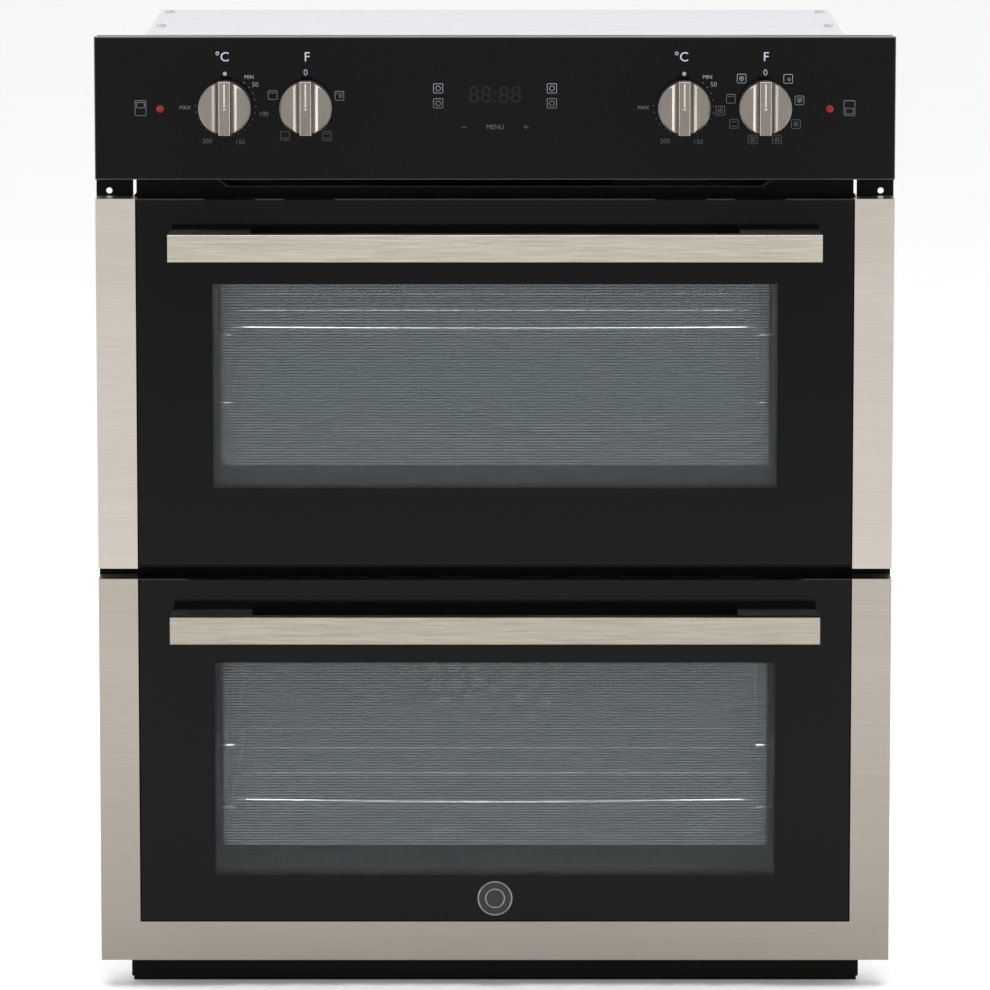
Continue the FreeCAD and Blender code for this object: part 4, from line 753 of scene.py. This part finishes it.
def printed_words(words, x, z, cap_height):
    """Words in the plain built-in face, centred on x and z, as a thin mesh."""
    bpy.ops.object.select_all(action="DESELECT")
    bpy.ops.object.text_add(location=(x, panel_y, z), rotation=FACING_FRONT)
    text = bpy.context.object
    text.data.body = words
    text.data.size = cap_height * TEXT_SIZE
    text.data.align_x = "CENTER"
    text.data.align_y = "CENTER"
    text.data.extrude = INK_DEPTH / 2
    text.data.resolution_u = 4
    bpy.ops.object.convert(target="MESH")
    bpy.ops.object.transform_apply(location=True, rotation=True, scale=True)
    return bpy.context.object


def printed_bar(width, height, x, z):
    """A straight printed line or patch."""
    return thicken(flat_plate(width, height, x, panel_y, z), INK_DEPTH)


def printed_dot(radius, x, z, corners=16):
    """A round printed dot."""
    return thicken(flat_disc(radius, x, panel_y, z, corners), INK_DEPTH)


def printed_outline(outline, line):
    """Insets a flat shape by the line's width, takes its middle out and thickens the rest."""
    only_select(outline)
    bpy.ops.object.mode_set(mode="EDIT")
    bpy.ops.mesh.select_all(action="SELECT")
    bpy.ops.mesh.inset(thickness=line)
    bpy.ops.mesh.delete(type="FACE")
    bpy.ops.object.mode_set(mode="OBJECT")
    return thicken(outline, INK_DEPTH)


def printed_frame(width, height, x, z, corner=0.0008):
    """A printed outline with rounded corners."""
    plate = flat_plate(width, height, x, panel_y, z)
    bpy.ops.object.mode_set(mode="EDIT")
    bpy.ops.mesh.select_all(action="SELECT")
    bpy.ops.mesh.bevel(offset=corner, segments=3, affect="VERTICES")
    bpy.ops.object.mode_set(mode="OBJECT")
    return printed_outline(plate, INK_LINE)


def printed_ring(radius, x, z):
    """A round printed outline."""
    return printed_outline(flat_disc(radius, x, panel_y, z, RING_CORNERS), INK_LINE)


WORD = 0.0028                           # height of the capitals of MIN and MAX
FIGURE = 0.0035                         # height of the temperatures
THERMOSTAT_MARKS = (("MIN", 0.0176, 0.0215, WORD), ("50", 0.0221, 0.0159, FIGURE),
                    ("150", 0.0107, -0.0268, FIGURE), ("200", -0.0137, -0.0261, FIGURE),
                    ("MAX", -0.0299, -0.0012, WORD))
HUNDRED_MARK = ("100", 0.0282, -0.0060, FIGURE)
TICKS = 19
TICK_RADIUS = 0.0224
TICK_DOT = 0.0004
TICK_CORNERS = 10
TICK_FIRST = 38.7
TICK_LAST = 271.0


def thermostat_scale(name, x, marks):
    """The temperatures and the ring of tick dots round one thermostat knob."""
    pieces = [printed_words(words, x + dx, KNOB_Z + dz, cap) for words, dx, dz, cap in marks]
    for tick in range(TICKS):
        turn = math.radians(TICK_FIRST + (TICK_LAST - TICK_FIRST) * tick / (TICKS - 1))
        pieces.append(printed_dot(TICK_DOT, x + TICK_RADIUS * math.sin(turn),
                                  KNOB_Z + TICK_RADIUS * math.cos(turn), TICK_CORNERS))
    finish_piece(join_pieces(pieces, name), ink, "carcass")


SYMBOL = 0.0069                         # side of a symbol
ELEMENT = 0.0045                        # length of a heating element's line in a symbol
ELEMENT_INSET = 0.0018                  # from the symbol's edge
FAN_RING = 0.0017
FAN_BLADE = 0.0026
LAMP_RING = 0.0011
LAMP_ASIDE = 0.0006
LAMP_DOWN = 0.0004
GRID_BAR = 0.0040
GRID_PITCH = 0.0013


def element_line(x, z, dashed=False):
    """A symbol's heating element, whole or in three dashes."""
    if not dashed:
        return [printed_bar(ELEMENT, INK_LINE, x, z)]
    dash = ELEMENT / 4
    return [printed_bar(dash, INK_LINE, x + step * dash * 1.5, z) for step in (-1, 0, 1)]


def symbol(x, z, top="", bottom="", middle=""):
    """One square symbol of an oven with its elements, fan or lamp."""
    reach = SYMBOL / 2 - ELEMENT_INSET
    pieces = [printed_frame(SYMBOL, SYMBOL, x, z)]
    if top:
        pieces += element_line(x, z + reach, top == "dashed")
    if bottom:
        pieces += element_line(x, z - reach, bottom == "dashed")
    if middle == "fan":
        pieces += [printed_ring(FAN_RING, x, z), printed_bar(FAN_BLADE, INK_LINE, x, z),
                   printed_bar(INK_LINE, FAN_BLADE, x, z)]
    if middle == "lamp":
        pieces += [printed_ring(LAMP_RING, x + LAMP_ASIDE, z - LAMP_DOWN)]
    if middle == "grid":
        pieces += [printed_bar(INK_LINE, GRID_BAR, x + step * GRID_PITCH, z)
                   for step in (-1, 0, 1)]
    return pieces


# Each symbol: place from the knob's centre, top element, bottom element, what is in the middle.
LEFT_SYMBOLS = ((-0.0249, 0.0082, "dashed", "", ""), (0.0246, 0.0077, "dashed", "", "lamp"),
                (-0.0160, -0.0221, "", "line", ""), (0.0152, -0.0221, "line", "line", ""))
RIGHT_SYMBOLS = ((-0.0167, 0.0205, "", "", "fan"), (0.0178, 0.0203, "", "", "lamp"),
                 (0.0263, 0.0043, "line", "", "fan"), (0.0237, -0.0134, "", "", "fan"),
                 (0.0098, -0.0247, "", "line", "fan"), (-0.0082, -0.0247, "line", "line", "fan"),
                 (-0.0222, -0.0132, "line", "line", ""), (-0.0246, 0.0055, "dashed", "", ""),
                 (-0.0325, -0.0034, "", "", "grid"))


def selector_symbols(name, x, symbols):
    """The symbols round one function knob."""
    pieces = []
    for dx, dz, top, bottom, middle in symbols:
        pieces += symbol(x + dx, KNOB_Z + dz, top, bottom, middle)
    finish_piece(join_pieces(pieces, name), ink, "carcass")


thermostat_scale("left_thermostat_scale", -0.200, THERMOSTAT_MARKS + (HUNDRED_MARK,))
thermostat_scale("right_thermostat_scale", 0.140, THERMOSTAT_MARKS)
selector_symbols("left_selector_symbols", -0.140, LEFT_SYMBOLS)
selector_symbols("right_selector_symbols", 0.1996, RIGHT_SYMBOLS)

TITLES = (("°C", -0.2023), ("F", -0.1394), ("°C", 0.1382), ("F", 0.2009))
TITLE_Z = 0.7048
TITLE_HEIGHT = 0.0069
ZEROS_X = (-0.1404, 0.2005)
ZERO_Z = 0.6933
ZERO_HEIGHT = 0.0046
OFF_DOTS_X = (-0.2003, 0.1403)
OFF_DOT_Z = 0.6925
OFF_DOT = 0.0015
knob_titles = [printed_words(words, x, TITLE_Z, TITLE_HEIGHT) for words, x in TITLES]
knob_titles += [printed_words("0", x, ZERO_Z, ZERO_HEIGHT) for x in ZEROS_X]
knob_titles += [printed_dot(OFF_DOT, x, OFF_DOT_Z) for x in OFF_DOTS_X]
finish_piece(join_pieces(knob_titles, "knob_titles"), ink, "carcass")

OVEN_SIGN_X = 0.263
OVEN_SIGN_Z = 0.667
OVEN_SIGN_SIZE = (0.0084, 0.0115)
SIGN_DOOR_SIZE = (0.0060, 0.0044)       # the door drawn in the sign, high or low in it
SIGN_DOOR_OFFSET = 0.0022
SIGN_DOOR_CORNER = 0.0005
oven_signs = []
for side in (-1, 1):
    oven_signs += [printed_frame(*OVEN_SIGN_SIZE, side * OVEN_SIGN_X, OVEN_SIGN_Z),
                   printed_frame(*SIGN_DOOR_SIZE, side * OVEN_SIGN_X,
                                 OVEN_SIGN_Z - side * SIGN_DOOR_OFFSET, SIGN_DOOR_CORNER)]
finish_piece(join_pieces(oven_signs, "oven_signs"), ink, "carcass")

TOUCH_MARK_X = 0.023
TOUCH_MARK_Z = 0.6529
TOUCH_MARK = 0.0038
MENU_HEIGHT = 0.0034
touch_marks = [printed_words("MENU", 0.0, TOUCH_MARK_Z, MENU_HEIGHT),
               printed_bar(TOUCH_MARK, INK_LINE, -TOUCH_MARK_X, TOUCH_MARK_Z),
               printed_bar(TOUCH_MARK, INK_LINE, TOUCH_MARK_X, TOUCH_MARK_Z),
               printed_bar(INK_LINE, TOUCH_MARK, TOUCH_MARK_X, TOUCH_MARK_Z)]
finish_piece(join_pieces(touch_marks, "touch_key_marks"), ink, "carcass")

TOUCH_KEY_X = 0.0422
TOUCH_KEY_ROWS = (0.6817, 0.6706)
TOUCH_KEY = 0.0073
TOUCH_RING = 0.0020
CLOCK_Z = 0.6765
CLOCK_HEIGHT = 0.0128
touch_keys = []
for x in (-TOUCH_KEY_X, TOUCH_KEY_X):
    for z in TOUCH_KEY_ROWS:
        touch_keys += [printed_frame(TOUCH_KEY, TOUCH_KEY, x, z), printed_ring(TOUCH_RING, x, z)]
finish_piece(join_pieces(touch_keys, "touch_keys"), ink, "carcass")
clock = printed_words("88:88", 0.0, CLOCK_Z, CLOCK_HEIGHT)
finish_piece(join_pieces([clock], "clock_digits"), unlit_ink, "carcass")


# ---- Indicator lamps ----------------------------------------------------------------------------
# Two red moulded lenses stand in the glass beside the outer knobs, one for each oven, and each
# glows while its oven heats. Here both are off.
LENS_RED = (0.26, 0.020, 0.008)
LENS_DEEP = (0.13, 0.010, 0.005)


def make_red_lens():
    """Red moulded lens, deeper in patches."""
    material, tree, shader = new_finish("red_moulded_lens", roughness=0.3)
    shader.inputs["Specular IOR Level"].default_value = 0.12
    depth = stepped(tree, noise(tree, object_place(tree), scale=500.0), 0.35, 0.7)
    red = mixed(tree, depth, LENS_DEEP, LENS_RED)
    tree.links.new(red, shader.inputs["Base Color"])
    return material


give_finish(make_red_lens(), "indicator_lenses")


# ---- Door badge ---------------------------------------------------------------------------------
# A small round plate, lacquered black, is glued to the lower glass under its window. Two plain
# rings of bright metal stand out of it.
BADGE_BLACK = (0.006, 0.006, 0.0065)
BADGE_SHEEN = (0.012, 0.012, 0.0125)
BADGE_METAL = (0.30, 0.30, 0.305)
BADGE_METAL_DARK = (0.22, 0.22, 0.225)
BADGE_GRAIN = (300.0, 300.0, 300.0)
BADGE_GLOSS = (0.25, 0.35)
BADGE_WIRE = 0.0005
INNER_RING = 0.52                       # inner ring's radius over the badge's
RING_SEGMENTS = 64
WIRE_SEGMENTS = 10
give_finish(make_moulded("badge_lacquer", BADGE_BLACK, BADGE_SHEEN, 0.12, 0.2), "door_badge")
low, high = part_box("door_badge")
badge_x = (low.x + high.x) / 2
badge_z = (low.z + high.z) / 2
badge_radius = (high.x - low.x) / 2
bpy.ops.object.select_all(action="DESELECT")
badge_rings = []
for radius in (badge_radius - 2 * BADGE_WIRE, badge_radius * INNER_RING):
    bpy.ops.mesh.primitive_torus_add(major_radius=radius, minor_radius=BADGE_WIRE,
                                     major_segments=RING_SEGMENTS, minor_segments=WIRE_SEGMENTS,
                                     location=(badge_x, low.y, badge_z), rotation=FACING_FRONT)
    badge_rings.append(bpy.context.object)
badge_relief = join_pieces(badge_rings, "badge_rings")
only_select(badge_relief)
bpy.ops.object.shade_smooth()
badge_metal = make_brushed("badge_metal", BADGE_METAL, BADGE_METAL_DARK, BADGE_GRAIN, BADGE_GLOSS)
finish_piece(badge_relief, badge_metal, "lower_door")


# ---- Floor, light and camera --------------------------------------------------------------------
# A plain pale floor, a white surround, and large soft lights from above and from both sides. A
# small soft light inside each cavity stands for its oven lamp and shows the shelves.
FLOOR_PALE = (0.93, 0.93, 0.93)
FLOOR_SHADE = (0.91, 0.91, 0.91)
FLOOR_SIZE = 60.0
SKY_WHITE = (1.0, 1.0, 1.0)
SKY_STRENGTH = 1.0
# Each light: name, place, turn in degrees, width and depth, power in watts.
LIGHTS = (("top_light", (0.0, -0.6, 3.2), (0.0, 0.0, 0.0), (3.0, 3.0), 85.0),
          ("left_light", (-3.0, -2.2, 0.66), (90.0, 0.0, -56.0), (1.8, 1.2), 40.0),
          ("right_light", (3.0, -2.2, 0.66), (90.0, 0.0, 56.0), (1.8, 1.2), 40.0),
          ("upper_oven_light", (0.0, -0.188, 0.560), (0.0, 0.0, 0.0), (0.41, 0.07), 0.8),
          ("lower_oven_light", (0.0, -0.188, 0.197), (0.0, 0.0, 0.0), (0.41, 0.07), 0.8))
CAMERA_PLACE = (0.0, -5.2615, 1.113)
CAMERA_TILT = 81.638
CAMERA_LENS = 246.0
SENSOR_WIDTH = 36.0

bpy.ops.object.select_all(action="DESELECT")
bpy.ops.mesh.primitive_plane_add(size=FLOOR_SIZE, location=(0.0, 0.0, 0.0))
floor = bpy.context.object
floor.name = "floor"
paper, tree, shader = new_finish("pale_floor", roughness=0.7)
tree.links.new(mixed(tree, noise(tree, object_place(tree), scale=3.0), FLOOR_PALE, FLOOR_SHADE),
               shader.inputs["Base Color"])
floor.data.materials.append(paper)

surround = bpy.data.worlds.new("white_surround")
surround.use_nodes = True
sky = surround.node_tree.nodes["Background"]
sky.inputs["Color"].default_value = solid(SKY_WHITE)
sky.inputs["Strength"].default_value = SKY_STRENGTH
bpy.context.scene.world = surround
bpy.context.scene.view_settings.view_transform = "Standard"

for name, place, turn, size, power in LIGHTS:
    bpy.ops.object.light_add(type="AREA", location=place,
                             rotation=[math.radians(angle) for angle in turn])
    lamp = bpy.context.object
    lamp.name = name
    lamp.data.shape = "RECTANGLE"
    lamp.data.size, lamp.data.size_y = size
    lamp.data.energy = power
    lamp.visible_camera = False

bpy.ops.object.camera_add(location=CAMERA_PLACE, rotation=(math.radians(CAMERA_TILT), 0.0, 0.0))
camera = bpy.context.object
camera.data.lens = CAMERA_LENS
camera.data.sensor_width = SENSOR_WIDTH
bpy.context.scene.camera = camera
